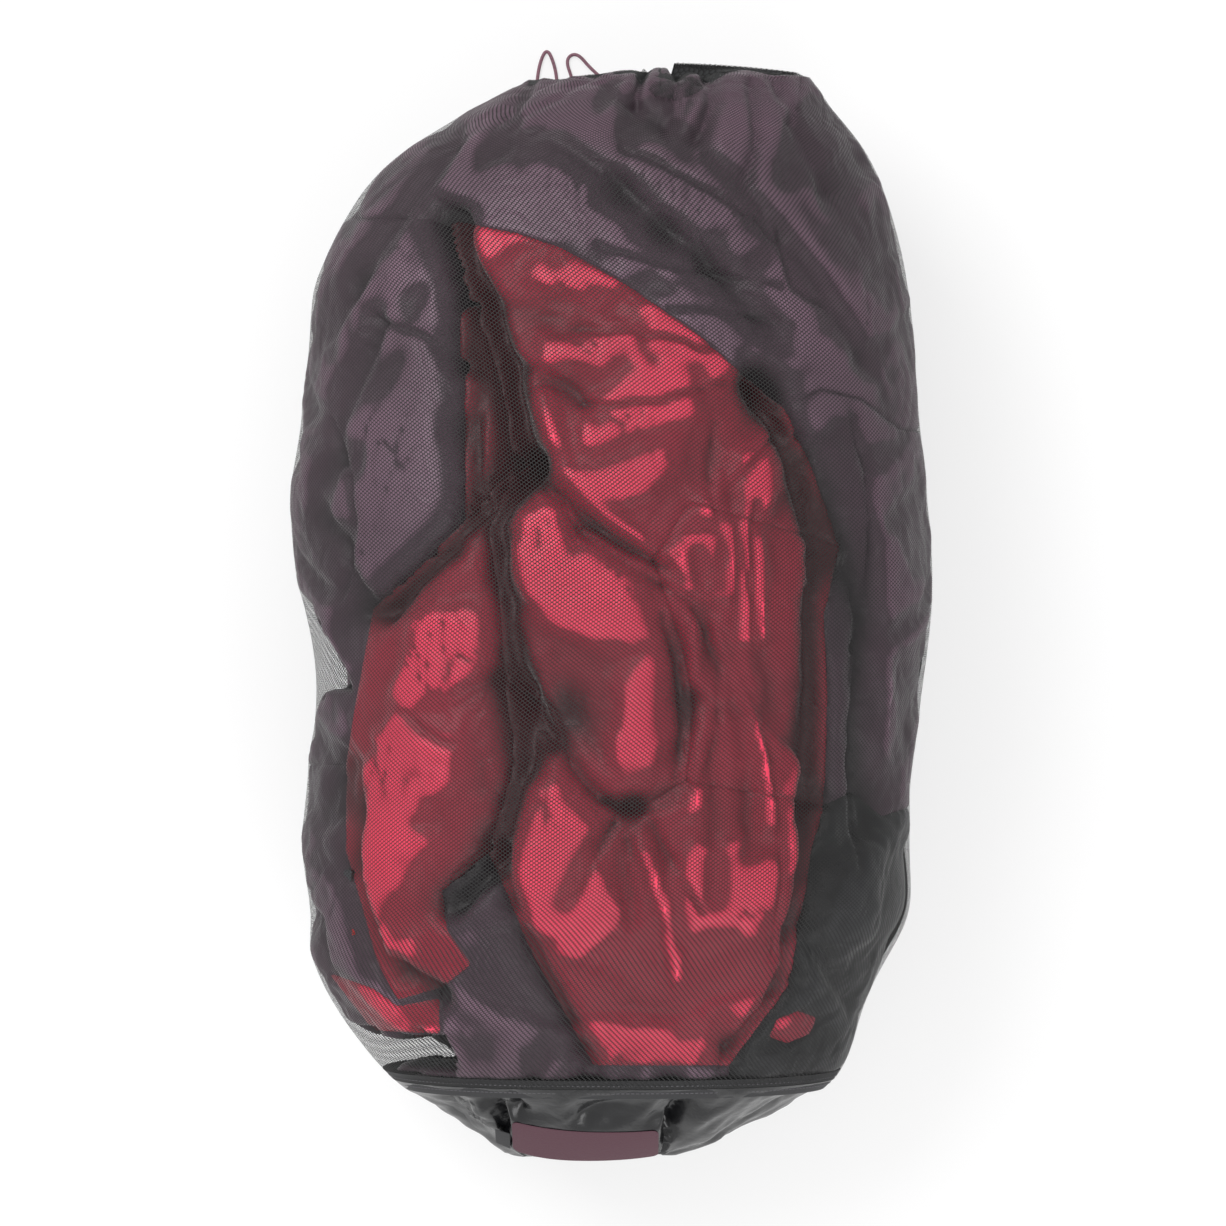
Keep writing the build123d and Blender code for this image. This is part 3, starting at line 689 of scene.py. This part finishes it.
crimson = nylon_material("crimson_nylon", CRIMSON, 0.8)
aubergine = nylon_material("aubergine_nylon", AUBERGINE, 0.7)
black_nylon = nylon_material("black_nylon", (0.02, 0.02, 0.023), 0.7)
STANDS_FOR = {
    "crimson_upper": "fold_crimson_upper", "crimson_hanging": "fold_crimson_hanging",
    "crimson_right": "fold_crimson_right", "crimson_lower": "fold_crimson_lower",
    "crimson_left": "fold_crimson_left", "dark_left": "fold_dark_left", "dark_top": "fold_dark_top",
    "dark_right": "fold_dark_right", "black_pouch": "folded_pouch", "dark_lower": "fold_dark_lower",
    "dark_corner": "fold_dark_corner", "back_foot": "back_fold_foot",
    "back_middle": "back_fold_middle", "back_head": "back_fold_head",
}


def fold_piece(name):
    """A fold as a closed padded piece: its settled face, a lining behind it and the rim between."""
    used, compact = np.unique(patch_faces(masks[name].reshape(skin.shape[:2])), return_inverse=True)
    faces = compact.reshape(-1, 4)
    face_corners = settled[used]
    count = len(face_corners)
    lining = face_corners + skin_inwards[used] * FOLD_THICKNESS
    rim = rim_edges(faces)
    walls = np.stack([rim[:, 1], rim[:, 0], rim[:, 0] + count, rim[:, 1] + count], 1)
    shown = np.concatenate([faces, faces[:, ::-1] + count, walls])
    material = crimson if "crimson" in name else black_nylon if "pouch" in name else aubergine
    piece = new_object(name, np.concatenate([face_corners, lining]), shown, material)
    front = piece.data.attributes.new("front", "FLOAT", "POINT")
    front.data.foreach_set("value", np.repeat([1.0, 0.0], count))
    smoother = piece.modifiers.new("smooth", "SUBSURF")
    smoother.levels = smoother.render_levels = 1
    mesh = bpy.data.meshes.new_from_object(piece.evaluated_get(bpy.context.evaluated_depsgraph_get()))
    piece.modifiers.clear()
    piece.data = mesh
    smooth_corners = corners_of(mesh)
    share = np.empty(len(smooth_corners))
    mesh.attributes["front"].data.foreach_get("value", share)
    depth, inward = wall_depth(smooth_corners)
    cut = crease_depth(smooth_corners) + roll(edge_distance(name, smooth_corners))
    cut = share * (cut + np.maximum(PRESSED_DEPTH * 0.6 - depth, 0))
    smooth_corners += inward * cut[:, None]
    mesh.vertices.foreach_set("co", smooth_corners.ravel())
    mesh.update()
    return piece


def edge_distance(name, corners):
    """Distance in millimetres inside a fold's own edge."""
    low = (corners[:, 2] - 0.13) * 1000
    if name not in BACK_FOLDS:
        return np.minimum(fold_distance(name, plan(corners) * 1000), low + 28)
    low_y, high_y = BACK_FOLDS[name]
    return np.minimum(np.minimum(corners[:, 1] * 1000 - low_y, high_y - corners[:, 1] * 1000), -20 - low)


def wall_depth(corners):
    """How far each corner lies inside the walls, and the way inwards there."""
    depth, inward = np.empty(len(corners)), ways_in(corners)
    for index, (corner, way) in enumerate(zip(corners, inward)):
        hit = WALLS.ray_cast(Vector(corner - 0.06 * way), Vector(way), 0.2)
        depth[index] = 0.06 - hit[3] if hit[0] else 0.01
    return depth, inward


fold_pieces = {name: fold_piece(name) for name in masks}
for name, piece in fold_pieces.items():
    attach(piece, "sack")
    if name in STANDS_FOR:
        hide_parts(STANDS_FOR[name])


# Mesh body: one panel of knitted polyester mesh, sewn to a tube by a lapped seam underneath. It is
# drawn taut over the stuffing: it lies on the crests and bridges the valleys.
MESH_GAP, CREST_SLACK = 0.00025, 0.0004
MESH_TURNS = 368
MESH_ALONG = np.concatenate([
    np.linspace(-0.288, 0.2975, 208), 0.3385 - 0.0385 * np.linspace(1, 0, 40) ** 2])
TAUT_ROUNDS = 1200
ROUND_RADIUS = 0.32
HOLE_WIDE, HOLE_LONG, HOLE_RADIUS = 0.00318, 0.0023, 0.00087
YARN = (0.024, 0.024, 0.024)

SEAM_TURN = -0.225
mesh_turns = SEAM_TURN + np.linspace(0, 2 * np.pi, MESH_TURNS, endpoint=False)
cloth_skin, cloth_in = with_cap(*wall_points(MESH_ALONG, mesh_turns), 0.3398)


def stuffing_under(points, inwards):
    """How deep the settled folds lie under each wall point, in metres."""
    corners, faces = [], []
    for piece in fold_pieces.values():
        first = len(corners)
        corners += [vertex.co.copy() for vertex in piece.data.vertices]
        faces += [[first + index for index in face.vertices] for face in piece.data.polygons]
    tree = BVHTree.FromPolygons(corners, faces)
    back = 0.01
    depth = np.full(points.shape[:2], 0.05)
    for index in np.ndindex(*depth.shape):
        inward = Vector(inwards[index])
        hit = tree.ray_cast(Vector(points[index]) - back * inward, inward, 0.06)
        if hit[0]:
            depth[index] = hit[3] - back
    return depth


def draw_taut(obstacle):
    """Depth of a taut cloth that is held at both ends and stays outside the obstacle."""
    pull = (0.0026**2) / 4 / ROUND_RADIUS
    depth = np.minimum(obstacle, 0.0)
    for _ in range(TAUT_ROUNDS):
        mean = (np.roll(depth, 1, 1) + np.roll(depth, -1, 1)) / 2
        mean[1:-1] = mean[1:-1] / 2 + (depth[2:] + depth[:-2]) / 4
        depth = np.minimum(mean + pull, obstacle)
        depth[0] = 0
    return depth


under = stuffing_under(cloth_skin, cloth_in)
beside = np.minimum(np.roll(under, 1, 1), np.roll(under, -1, 1))
beside[1:-1] = np.minimum(beside[1:-1], np.minimum(under[2:], under[:-2]))
stuffing = np.minimum(under, beside + CREST_SLACK) - MESH_GAP
taut = np.minimum(draw_taut(stuffing) + pleat_depth(cloth_skin), np.maximum(stuffing, 0.0002))
by_seam = np.abs((mesh_turns - SEAM_TURN + np.pi) % (2 * np.pi) - np.pi) / 0.06
taut *= np.clip(by_seam, 0, 1)[None, :] ** 2
mesh_points = cloth_skin + cloth_in * taut[..., None]
LAP_COLUMNS, LAP_DEPTH = 3, 0.0005
mesh_points = np.concatenate(
    [mesh_points, mesh_points[:, :LAP_COLUMNS] + LAP_DEPTH * cloth_in[:, :LAP_COLUMNS]], 1)


def grid_faces(rows, columns):
    number = np.arange(rows * columns).reshape(rows, columns)
    return np.stack([number[:-1, :-1], number[:-1, 1:], number[1:, 1:], number[1:, :-1]], -1).reshape(-1, 4)


def lay_out(mesh, across, along):
    """Writes a UV layout in metres from each corner's place across and along the cloth."""
    layer = mesh.uv_layers.new(name="cloth")
    corner = np.empty(len(mesh.loops), int)
    mesh.loops.foreach_get("vertex_index", corner)
    layer.data.foreach_set("uv", np.stack([across.ravel()[corner], along.ravel()[corner]], 1).ravel())


# The knit keeps its count of holes where the mouth is gathered, so they close up there
GATHERED_FROM = 0.285
steps_across = np.linalg.norm(np.diff(mesh_points, axis=1), axis=2)
across = np.concatenate([np.zeros((len(mesh_points), 1)), np.cumsum(steps_across, 1)], 1)
row_y = np.concatenate([MESH_ALONG, np.full(CAP_ROWS, 0.34)])
full_row = int(np.argmax(row_y > GATHERED_FROM))
across[full_row:] = across[full_row]
for _ in range(40):
    across[1:-1] = (across[:-2] + 2 * across[1:-1] + across[2:]) / 4
steps_along = np.linalg.norm(np.diff(cloth_skin, axis=0), axis=2).mean(1)
along = np.concatenate([[0], np.cumsum(steps_along)])[:, None] * np.ones((1, mesh_points.shape[1]))


def knit_material(name, hole_radius, colour=YARN):
    """Knitted mesh: staggered rounded-diamond holes through a dark yarn that bulges between them."""
    material, tree, shader = new_material(name, colour, 0.6)
    shader.inputs["Specular IOR Level"].default_value = 0.2
    where = node(tree, "ShaderNodeUVMap", uv_map="cloth")
    split = node(tree, "ShaderNodeSeparateXYZ")
    tree.links.new(where.outputs["UV"], split.inputs["Vector"])

    def maths(operation, *values):
        made = node(tree, "ShaderNodeMath", operation=operation)
        for socket, value in zip(made.inputs, values):
            if isinstance(value, (int, float)):
                socket.default_value = value
            else:
                tree.links.new(value, socket)
        return made.outputs[0]

    def nearest_hole(shift):
        """Distance to the nearest hole of one of the two staggered sets, in metres."""
        offsets = []
        for axis, cell in (("X", HOLE_WIDE), ("Y", HOLE_LONG)):
            place = maths("ADD", maths("DIVIDE", split.outputs[axis], cell), shift)
            offsets.append(maths("MULTIPLY", maths("SUBTRACT", maths("FRACT", place), 0.5), cell))
        across_hole = maths("POWER", maths("ABSOLUTE", offsets[0]), 1.6)
        along_hole = maths("POWER", maths("ABSOLUTE", offsets[1]), 1.6)
        return maths("POWER", maths("ADD", across_hole, along_hole), 1 / 1.6)

    distance = maths("MINIMUM", nearest_hole(0.0), nearest_hole(0.5))
    open_share = maths("LESS_THAN", distance, hole_radius)
    yarn_height = maths("SUBTRACT", distance, hole_radius)
    bump = node(tree, "ShaderNodeBump")
    bump.inputs["Distance"].default_value = 1.0
    bump.inputs["Strength"].default_value = 0.35
    tree.links.new(yarn_height, bump.inputs["Height"])
    tree.links.new(bump.outputs["Normal"], shader.inputs["Normal"])
    clear = node(tree, "ShaderNodeBsdfTransparent")
    mixed = node(tree, "ShaderNodeMixShader")
    tree.links.new(open_share, mixed.inputs["Fac"])
    tree.links.new(shader.outputs["BSDF"], mixed.inputs[1])
    tree.links.new(clear.outputs["BSDF"], mixed.inputs[2])
    tree.links.new(mixed.outputs["Shader"], tree.nodes["Material Output"].inputs["Surface"])
    return material


# The folds' second layout holds how far they stand off the mesh, which sets the painted shade in their
# material's colour
FULL_SHADE, DEEP_GAP = 0.0016, 0.016


def note_stand_off(piece, tree):
    """Writes each corner's distance out to the mesh as a layout, near gaps across and deep ones up."""
    corners = corners_of(piece.data)
    gaps = np.empty(len(corners))
    for index, corner in enumerate(corners):
        nearest = tree.find_nearest(Vector(corner), DEEP_GAP)
        gaps[index] = nearest[3] if nearest[0] else DEEP_GAP
    layer = piece.data.uv_layers.new(name="stand_off")
    corner = np.empty(len(piece.data.loops), int)
    piece.data.loops.foreach_get("vertex_index", corner)
    layer.data.foreach_set("uv", np.stack(
        [np.minimum(gaps[corner] / FULL_SHADE, 1), gaps[corner] / DEEP_GAP], 1).ravel())


black_mesh = knit_material("black_mesh", HOLE_RADIUS)
felted_mesh = knit_material("black_mesh_doubled", HOLE_RADIUS / 2, (0.045, 0.045, 0.047))
mesh_cloth = new_object(
    "mesh_cloth", mesh_points.reshape(-1, 3), grid_faces(*mesh_points.shape[:2]), black_mesh)
lay_out(mesh_cloth.data, across, along)
mesh_tree = BVHTree.FromPolygons([Vector(corner) for corner in mesh_points.reshape(-1, 3)],
                                 grid_faces(*mesh_points.shape[:2]).tolist())
for piece in fold_pieces.values():
    note_stand_off(piece, mesh_tree)

# The hem allowance: the same knitted mesh turned in under itself next to the mouth and caught in the
# casing's seam, so it is twice as dense there and reads greyer.
HEM_REACH = 0.103
hem_points = mesh_points + LAP_DEPTH * np.concatenate([cloth_in, cloth_in[:, :LAP_COLUMNS]], 1)
hem_faces = grid_faces(*hem_points.shape[:2])
near_mouth = (np.linalg.norm(hem_points - MOUTH, axis=-1) < HEM_REACH).reshape(-1)
hem_used, hem_compact = np.unique(hem_faces[near_mouth[hem_faces].all(1)], return_inverse=True)
hem_cloth = new_object(
    "hem_cloth", hem_points.reshape(-1, 3)[hem_used], hem_compact.reshape(-1, 4), felted_mesh)
lay_out(hem_cloth.data, across.ravel()[hem_used] + HOLE_WIDE / 2, along.ravel()[hem_used])


# Drawcord casing: the knitted body's end, folded over the cord and sewn down as a tunnel. The drawn
# cord bunches it into a ruffle with a puckered middle.
CASING_WAVES, CASING_ROWS, CASING_COLUMNS = 17, 14, 240
CASING_INNER, CASING_OUTER, CASING_HEIGHT = 0.006, 0.0185, 0.013


def casing_points():
    """Rows from the ruffle's foot, out over its crest and into its puckered middle."""
    across_axis = np.array((1.0, 0, 0))
    down_axis = np.cross(MOUTH_NORMAL, across_axis)
    turns = np.linspace(0, 2 * np.pi, CASING_COLUMNS)
    uneven = 0.7 * np.sin(2 * turns) + 0.5 * np.sin(5 * turns + 1)
    points = []
    for row in range(CASING_ROWS):
        share = row / (CASING_ROWS - 1)
        bulge = np.sin(np.pi * min(share * 1.25, 1))
        radius = CASING_INNER + (CASING_OUTER - CASING_INNER) * (1 - share**1.5)
        radius = radius + 0.0022 * (0.4 + share) * np.cos(CASING_WAVES * turns + uneven + 1.5 * share)
        height = CASING_HEIGHT * bulge * (0.85 + 0.15 * np.cos(CASING_WAVES * turns + uneven)) - 0.002
        ring = MOUTH + radius[:, None] * (
            np.cos(turns)[:, None] * across_axis + np.sin(turns)[:, None] * down_axis)
        points.append(ring + height[:, None] * MOUTH_NORMAL)
    return np.array(points)


ruffle = casing_points()
casing_cloth = new_object(
    "casing_cloth", ruffle.reshape(-1, 3), grid_faces(CASING_ROWS, CASING_COLUMNS)[:, ::-1], black_mesh)
RUFFLE_LENGTH, RUFFLE_WIDTH = 0.55, 0.03  # laid flat
ruffle_across = np.linspace(0, RUFFLE_LENGTH, CASING_COLUMNS)[None, :] * np.ones((CASING_ROWS, 1))
ruffle_along = np.linspace(0, RUFFLE_WIDTH, CASING_ROWS)[:, None] * np.ones((1, CASING_COLUMNS))
lay_out(casing_cloth.data, ruffle_across, ruffle_along)
for piece, stands_for in (
        (mesh_cloth, "mesh_body"), (hem_cloth, "mesh_body"), (casing_cloth, "drawcord_casing")):
    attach(piece, "sack")
    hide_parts(stands_for)


# Base panel: a disc of black nylon with a shiny waterproof coating, cut larger than the end it
# closes and eased into the mesh's seam, so it stands in sharp radiating folds.
BASE_TURNS, BASE_CAP_ROWS = 320, 46
BASE_ALONG = np.linspace(-0.288, -0.3365, 30)
BASE_VALLEYS = [
    ([(80, -268), (58, -298), (41, -322)], 17, 3, 13),
    ([(132, -294), (106, -311), (80, -333)], 13, 3, 11),
    ([(-100, -276), (-86, -300), (-66, -324)], 13, 10, 3),
    ([(-130, -284), (-108, -308), (-88, -331)], 12, 10, 3),
    ([(-78, -272), (-64, -290), (-62, -310)], 8, 5, 2.5),
    ([(30, -283), (8, -300), (-20, -312)], 6, 9, 4),
]
CRUMPLED_MIDDLE, CRUMPLED_REACH = (-85, -298), 26
LABEL_LOW, LABEL_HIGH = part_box("base_label")


def base_depth(points):
    """How far the base cloth hangs in from its sewn disc, in metres."""
    where = plan(points) * 1000
    from_seam = np.clip((-0.2885 - points[..., 1]) / 0.012, 0, 1)
    depth = 1.0 + 1.2 * rumple(where, 30, 5) + 0.9 * rumple(points[..., [0, 2]] * 1000, 17, 9)
    upper = np.clip((points[..., 2] - 0.12) / 0.03, 0, 1)
    for line, deep, left, right in BASE_VALLEYS:
        signed = line_distance(where, line)
        wide = np.where(signed < 0, left, right)
        depth += upper * deep * np.exp(-(np.abs(signed) / wide) ** 1.3)
    off = np.linalg.norm(where - np.array(CRUMPLED_MIDDLE), axis=-1) / CRUMPLED_REACH
    depth += upper * 2.2 * np.abs(rumple(where, 11, 15)) * np.exp(-off**4)
    turn = np.arctan2(points[..., 2] - 0.125, points[..., 0])
    far = np.hypot(points[..., 2] - 0.125, points[..., 0] / 1.5)
    fan = 0.5 + 0.5 * np.cos(15 * turn + 1.5 * np.sin(3 * turn))
    depth += (1 - upper) * 5 * fan * np.clip(far / 0.05, 0, 1)
    beside = np.maximum(LABEL_LOW[0] - points[..., 0], points[..., 0] - LABEL_HIGH[0])
    below = np.maximum(LABEL_LOW[2] - points[..., 2], points[..., 2] - LABEL_HIGH[2])
    clear_of_label = np.clip(np.maximum(beside, below) / 0.010, 0, 1)
    return np.maximum(depth * clear_of_label * from_seam, 0.25) / 1000


base_turns = np.linspace(-np.pi / 2, 1.5 * np.pi, BASE_TURNS)
base_skin, base_in = with_cap(*wall_points(BASE_ALONG, base_turns), -0.3395, BASE_CAP_ROWS)
base_points = base_skin + base_in * base_depth(base_skin)[..., None]


def coated_material():
    """Shiny coated cloth: smooth black film over a fine weave, with sharp small creases."""
    material, tree, shader = new_material("coated_nylon", (0.006, 0.006, 0.007), 0.27)
    where = node(tree, "ShaderNodeTexCoord")
    creases = node(tree, "ShaderNodeTexVoronoi", feature="DISTANCE_TO_EDGE")
    creases.inputs["Scale"].default_value = 26
    warp = node(tree, "ShaderNodeTexNoise")
    warp.inputs["Scale"].default_value = 30
    warp.inputs["Detail"].default_value = 4
    spread = node(tree, "ShaderNodeMixRGB", blend_type="ADD")
    spread.inputs["Fac"].default_value = 0.06
    heights = node(tree, "ShaderNodeMixRGB", blend_type="ADD")
    heights.inputs["Fac"].default_value = 0.35
    bump = node(tree, "ShaderNodeBump")
    bump.inputs["Distance"].default_value = 0.0025
    bump.inputs["Strength"].default_value = 0.5
    tree.links.new(where.outputs["Object"], warp.inputs["Vector"])
    tree.links.new(where.outputs["Object"], spread.inputs["Color1"])
    tree.links.new(warp.outputs["Color"], spread.inputs["Color2"])
    tree.links.new(spread.outputs["Color"], creases.inputs["Vector"])
    tree.links.new(creases.outputs["Distance"], heights.inputs["Color1"])
    tree.links.new(warp.outputs["Fac"], heights.inputs["Color2"])
    tree.links.new(heights.outputs["Color"], bump.inputs["Height"])
    tree.links.new(bump.outputs["Normal"], shader.inputs["Normal"])
    return material


base_cloth = new_object(
    "base_cloth", base_points.reshape(-1, 3), grid_faces(*base_points.shape[:2])[:, ::-1],
    coated_material())
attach(base_cloth, "sack")
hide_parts("base_panel")


# Seam tapes and labels: woven polyester tape bound over the raw edges of the base and side seams,
# and two woven labels, all sewn on. Two rows of lockstitch hold the base tape.
def tape_material(name, colour):
    """A fine ribbed woven tape."""
    material, tree, shader = new_material(name, colour, 0.7)
    where = node(tree, "ShaderNodeTexCoord")
    ribs = node(tree, "ShaderNodeTexNoise")
    ribs.inputs["Scale"].default_value = 900
    bump = node(tree, "ShaderNodeBump")
    bump.inputs["Distance"].default_value = 0.0006
    bump.inputs["Strength"].default_value = 0.5
    tree.links.new(where.outputs["Object"], ribs.inputs["Vector"])
    tree.links.new(ribs.outputs["Fac"], bump.inputs["Height"])
    tree.links.new(bump.outputs["Normal"], shader.inputs["Normal"])
    return material


black_tape = tape_material("black_tape", (0.02, 0.02, 0.022))
for name in ("base_seam_tape", "side_seam_tape", "care_label"):
    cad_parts[name].material_slots[0].material = black_tape
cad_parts["base_label"].material_slots[0].material = tape_material(
    "woven_label", (0.075, 0.024, 0.038))

STITCH_SPACING, STITCH_RADIUS, STITCH_LENGTH = 0.0030, 0.00028, 0.0019
thread = new_material("thread", (0.10, 0.095, 0.105), 0.6)[0]


def stitch_nodes():
    """Geometry nodes that set one short stitch at each spacing along a line."""
    tree = bpy.data.node_groups.new("stitch_row", "GeometryNodeTree")
    for name, kind in (("Line", "NodeSocketGeometry"), ("Spacing", "NodeSocketFloat"),
                       ("Radius", "NodeSocketFloat"), ("Length", "NodeSocketFloat"),
                       ("Thread", "NodeSocketMaterial")):
        tree.interface.new_socket(name, in_out="INPUT", socket_type=kind)
    tree.interface.new_socket("Stitches", in_out="OUTPUT", socket_type="NodeSocketGeometry")
    given, result = tree.nodes.new("NodeGroupInput"), tree.nodes.new("NodeGroupOutput")
    to_curve = tree.nodes.new("GeometryNodeMeshToCurve")
    to_points = tree.nodes.new("GeometryNodeCurveToPoints")
    to_points.mode = "LENGTH"
    stitch = tree.nodes.new("GeometryNodeMeshCylinder")
    stitch.inputs["Vertices"].default_value = 6
    place = tree.nodes.new("GeometryNodeInstanceOnPoints")
    real = tree.nodes.new("GeometryNodeRealizeInstances")
    coat = tree.nodes.new("GeometryNodeSetMaterial")
    link = tree.links.new
    link(given.outputs["Line"], to_curve.inputs[0])
    link(to_curve.outputs[0], to_points.inputs["Curve"])
    link(given.outputs["Spacing"], to_points.inputs["Length"])
    link(given.outputs["Radius"], stitch.inputs["Radius"])
    link(given.outputs["Length"], stitch.inputs["Depth"])
    link(to_points.outputs["Points"], place.inputs["Points"])
    link(stitch.outputs["Mesh"], place.inputs["Instance"])
    turn = tree.nodes.new("FunctionNodeAlignRotationToVector")
    turn.axis = "Z"
    link(to_points.outputs["Tangent"], turn.inputs["Vector"])
    link(turn.outputs[0], place.inputs["Rotation"])
    link(place.outputs[0], real.inputs[0])
    link(real.outputs[0], coat.inputs[0])
    link(given.outputs["Thread"], coat.inputs["Material"])
    link(coat.outputs[0], result.inputs[0])
    return tree


STITCHES = stitch_nodes()


def stitch_row(name, line):
    """A row of stitches along a line of points, riding with the sack."""
    mesh = bpy.data.meshes.new(name)
    mesh.from_pydata([tuple(point) for point in line], [(k, k + 1) for k in range(len(line) - 1)], [])
    row = bpy.data.objects.new(name, mesh)
    bpy.context.scene.collection.objects.link(row)
    maker = row.modifiers.new("stitches", "NODES")
    maker.node_group = STITCHES
    values = {"Spacing": STITCH_SPACING, "Radius": STITCH_RADIUS, "Length": STITCH_LENGTH, "Thread": thread}
    for item in STITCHES.interface.items_tree:
        if item.item_type == "SOCKET" and item.in_out == "INPUT" and item.name in values:
            maker[item.identifier] = values[item.name]
    row.data = bpy.data.meshes.new_from_object(row.evaluated_get(bpy.context.evaluated_depsgraph_get()))
    row.modifiers.clear()
    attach(row, "sack")


def tape_line(names, along, turns, lift):
    """Points on the tapes' outsides, lifted a little, for places along and turns round."""
    tree = surface_tree(names)
    line = []
    for y, turn in zip(along, turns):
        middle = Vector((np.interp(y, MIDDLE_Y, MIDDLE_X), y, np.interp(y, MIDDLE_Y, MIDDLE_Z)))
        out = Vector((RAY_SPREAD * np.cos(turn), 0, np.sin(turn))).normalized()
        hit = tree.ray_cast(middle + OUTSIDE * out, -out)[0]
        if hit:
            line.append(hit + lift * out)
    return line


seam_low, seam_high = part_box("base_seam_tape")
SEAM_POINTS, STITCH_LIFT = 300, 0.0001
seam_turns = np.linspace(0, 2 * np.pi, SEAM_POINTS)
for name, share in (("base_stitches", 0.3), ("base_stitches_outer", 0.7)):
    seam_y = seam_low[1] + share * (seam_high[1] - seam_low[1])
    stitch_row(name, tape_line(
        ["base_seam_tape"], np.full(SEAM_POINTS, seam_y), seam_turns, STITCH_LIFT))


# Small parts: the cast metal zip slider with a knotted red cord pull, and the cord lock, a moulded
# nylon barrel and plunger pushed apart by a coiled steel spring so that they pinch the cord.
def set_material(name, material):
    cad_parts[name].material_slots[0].material = material


metal, _, metal_shader = new_material("dark_metal", (0.10, 0.10, 0.11), 0.32)
metal_shader.inputs["Metallic"].default_value = 1.0
steel, _, steel_shader = new_material("spring_steel", (0.55, 0.55, 0.57), 0.28)
steel_shader.inputs["Metallic"].default_value = 1.0


def moulded_material(name, colour):
    """Moulded nylon with a fine spark-eroded grain."""
    material, tree, shader = new_material(name, colour, 0.42)
    where = node(tree, "ShaderNodeTexCoord")
    grain = node(tree, "ShaderNodeTexNoise")
    grain.inputs["Scale"].default_value = 1600
    bump = node(tree, "ShaderNodeBump")
    bump.inputs["Distance"].default_value = 0.0002
    bump.inputs["Strength"].default_value = 0.3
    tree.links.new(where.outputs["Object"], grain.inputs["Vector"])
    tree.links.new(grain.outputs["Fac"], bump.inputs["Height"])
    tree.links.new(bump.outputs["Normal"], shader.inputs["Normal"])
    return material


set_material("zip_slider", metal)
set_material("zip_pull", braid_material("red_braid", (0.55, 0.03, 0.03)))
set_material("lock_body", moulded_material("lock_plastic", (0.018, 0.018, 0.02)))
set_material("lock_plunger", moulded_material("plunger_plastic", (0.06, 0.06, 0.065)))
set_material("lock_spring", steel)


# Studio: a pale floor that reads as white, and broad soft light from above and the left
FLOOR_COLOUR, FLOOR_WHITE_SHARE = (0.9, 0.9, 0.9), 0.6
floor_mesh = bpy.data.meshes.new("floor")
floor_mesh.from_pydata([(-4, -4, 0), (4, -4, 0), (4, 4, 0), (-4, 4, 0)], [], [(0, 1, 2, 3)])
floor = bpy.data.objects.new("floor", floor_mesh)
bpy.context.scene.collection.objects.link(floor)
floor_paint, floor_tree, floor_shader = new_material("floor", FLOOR_COLOUR, 0.9)
seen = node(floor_tree, "ShaderNodeLightPath")
white = node(floor_tree, "ShaderNodeEmission")
any_glossy = node(floor_tree, "ShaderNodeMath", operation="MAXIMUM")
any_seen = node(floor_tree, "ShaderNodeMath", operation="MAXIMUM")
lit_share = node(floor_tree, "ShaderNodeMath", operation="MULTIPLY")
lit_share.inputs[1].default_value = FLOOR_WHITE_SHARE
mixed = node(floor_tree, "ShaderNodeMixShader")
floor_tree.links.new(seen.outputs["Is Glossy Ray"], any_glossy.inputs[0])
floor_tree.links.new(seen.outputs["Is Transmission Ray"], any_glossy.inputs[1])
floor_tree.links.new(seen.outputs["Is Camera Ray"], any_seen.inputs[0])
floor_tree.links.new(any_glossy.outputs[0], any_seen.inputs[1])
floor_tree.links.new(any_seen.outputs[0], lit_share.inputs[0])
floor_tree.links.new(lit_share.outputs[0], mixed.inputs["Fac"])
floor_tree.links.new(floor_shader.outputs["BSDF"], mixed.inputs[1])
floor_tree.links.new(white.outputs["Emission"], mixed.inputs[2])
floor_tree.links.new(mixed.outputs["Shader"], floor_tree.nodes["Material Output"].inputs["Surface"])
floor_mesh.materials.append(floor_paint)
world = bpy.data.worlds.new("studio")
bpy.context.scene.world = world
world.use_nodes = True
sky = world.node_tree.nodes["Background"]
sky.inputs["Color"].default_value = (1, 1, 1, 1)
sky.inputs["Strength"].default_value = 0.85
for name, place, wide, watts in (
    ("key_light", (-1.1, 1.0, 2.2), 1.2, 34), ("fill_light", (0.5, -1.7, 1.7), 1.2, 16)):
    lamp = bpy.data.lights.new(name, "AREA")
    lamp.size = wide
    lamp.energy = watts
    light = bpy.data.objects.new(name, lamp)
    light.location = place
    light.rotation_euler = (Vector((0, 0, 0.1)) - Vector(place)).to_track_quat("-Z", "Y").to_euler()
    bpy.context.scene.collection.objects.link(light)
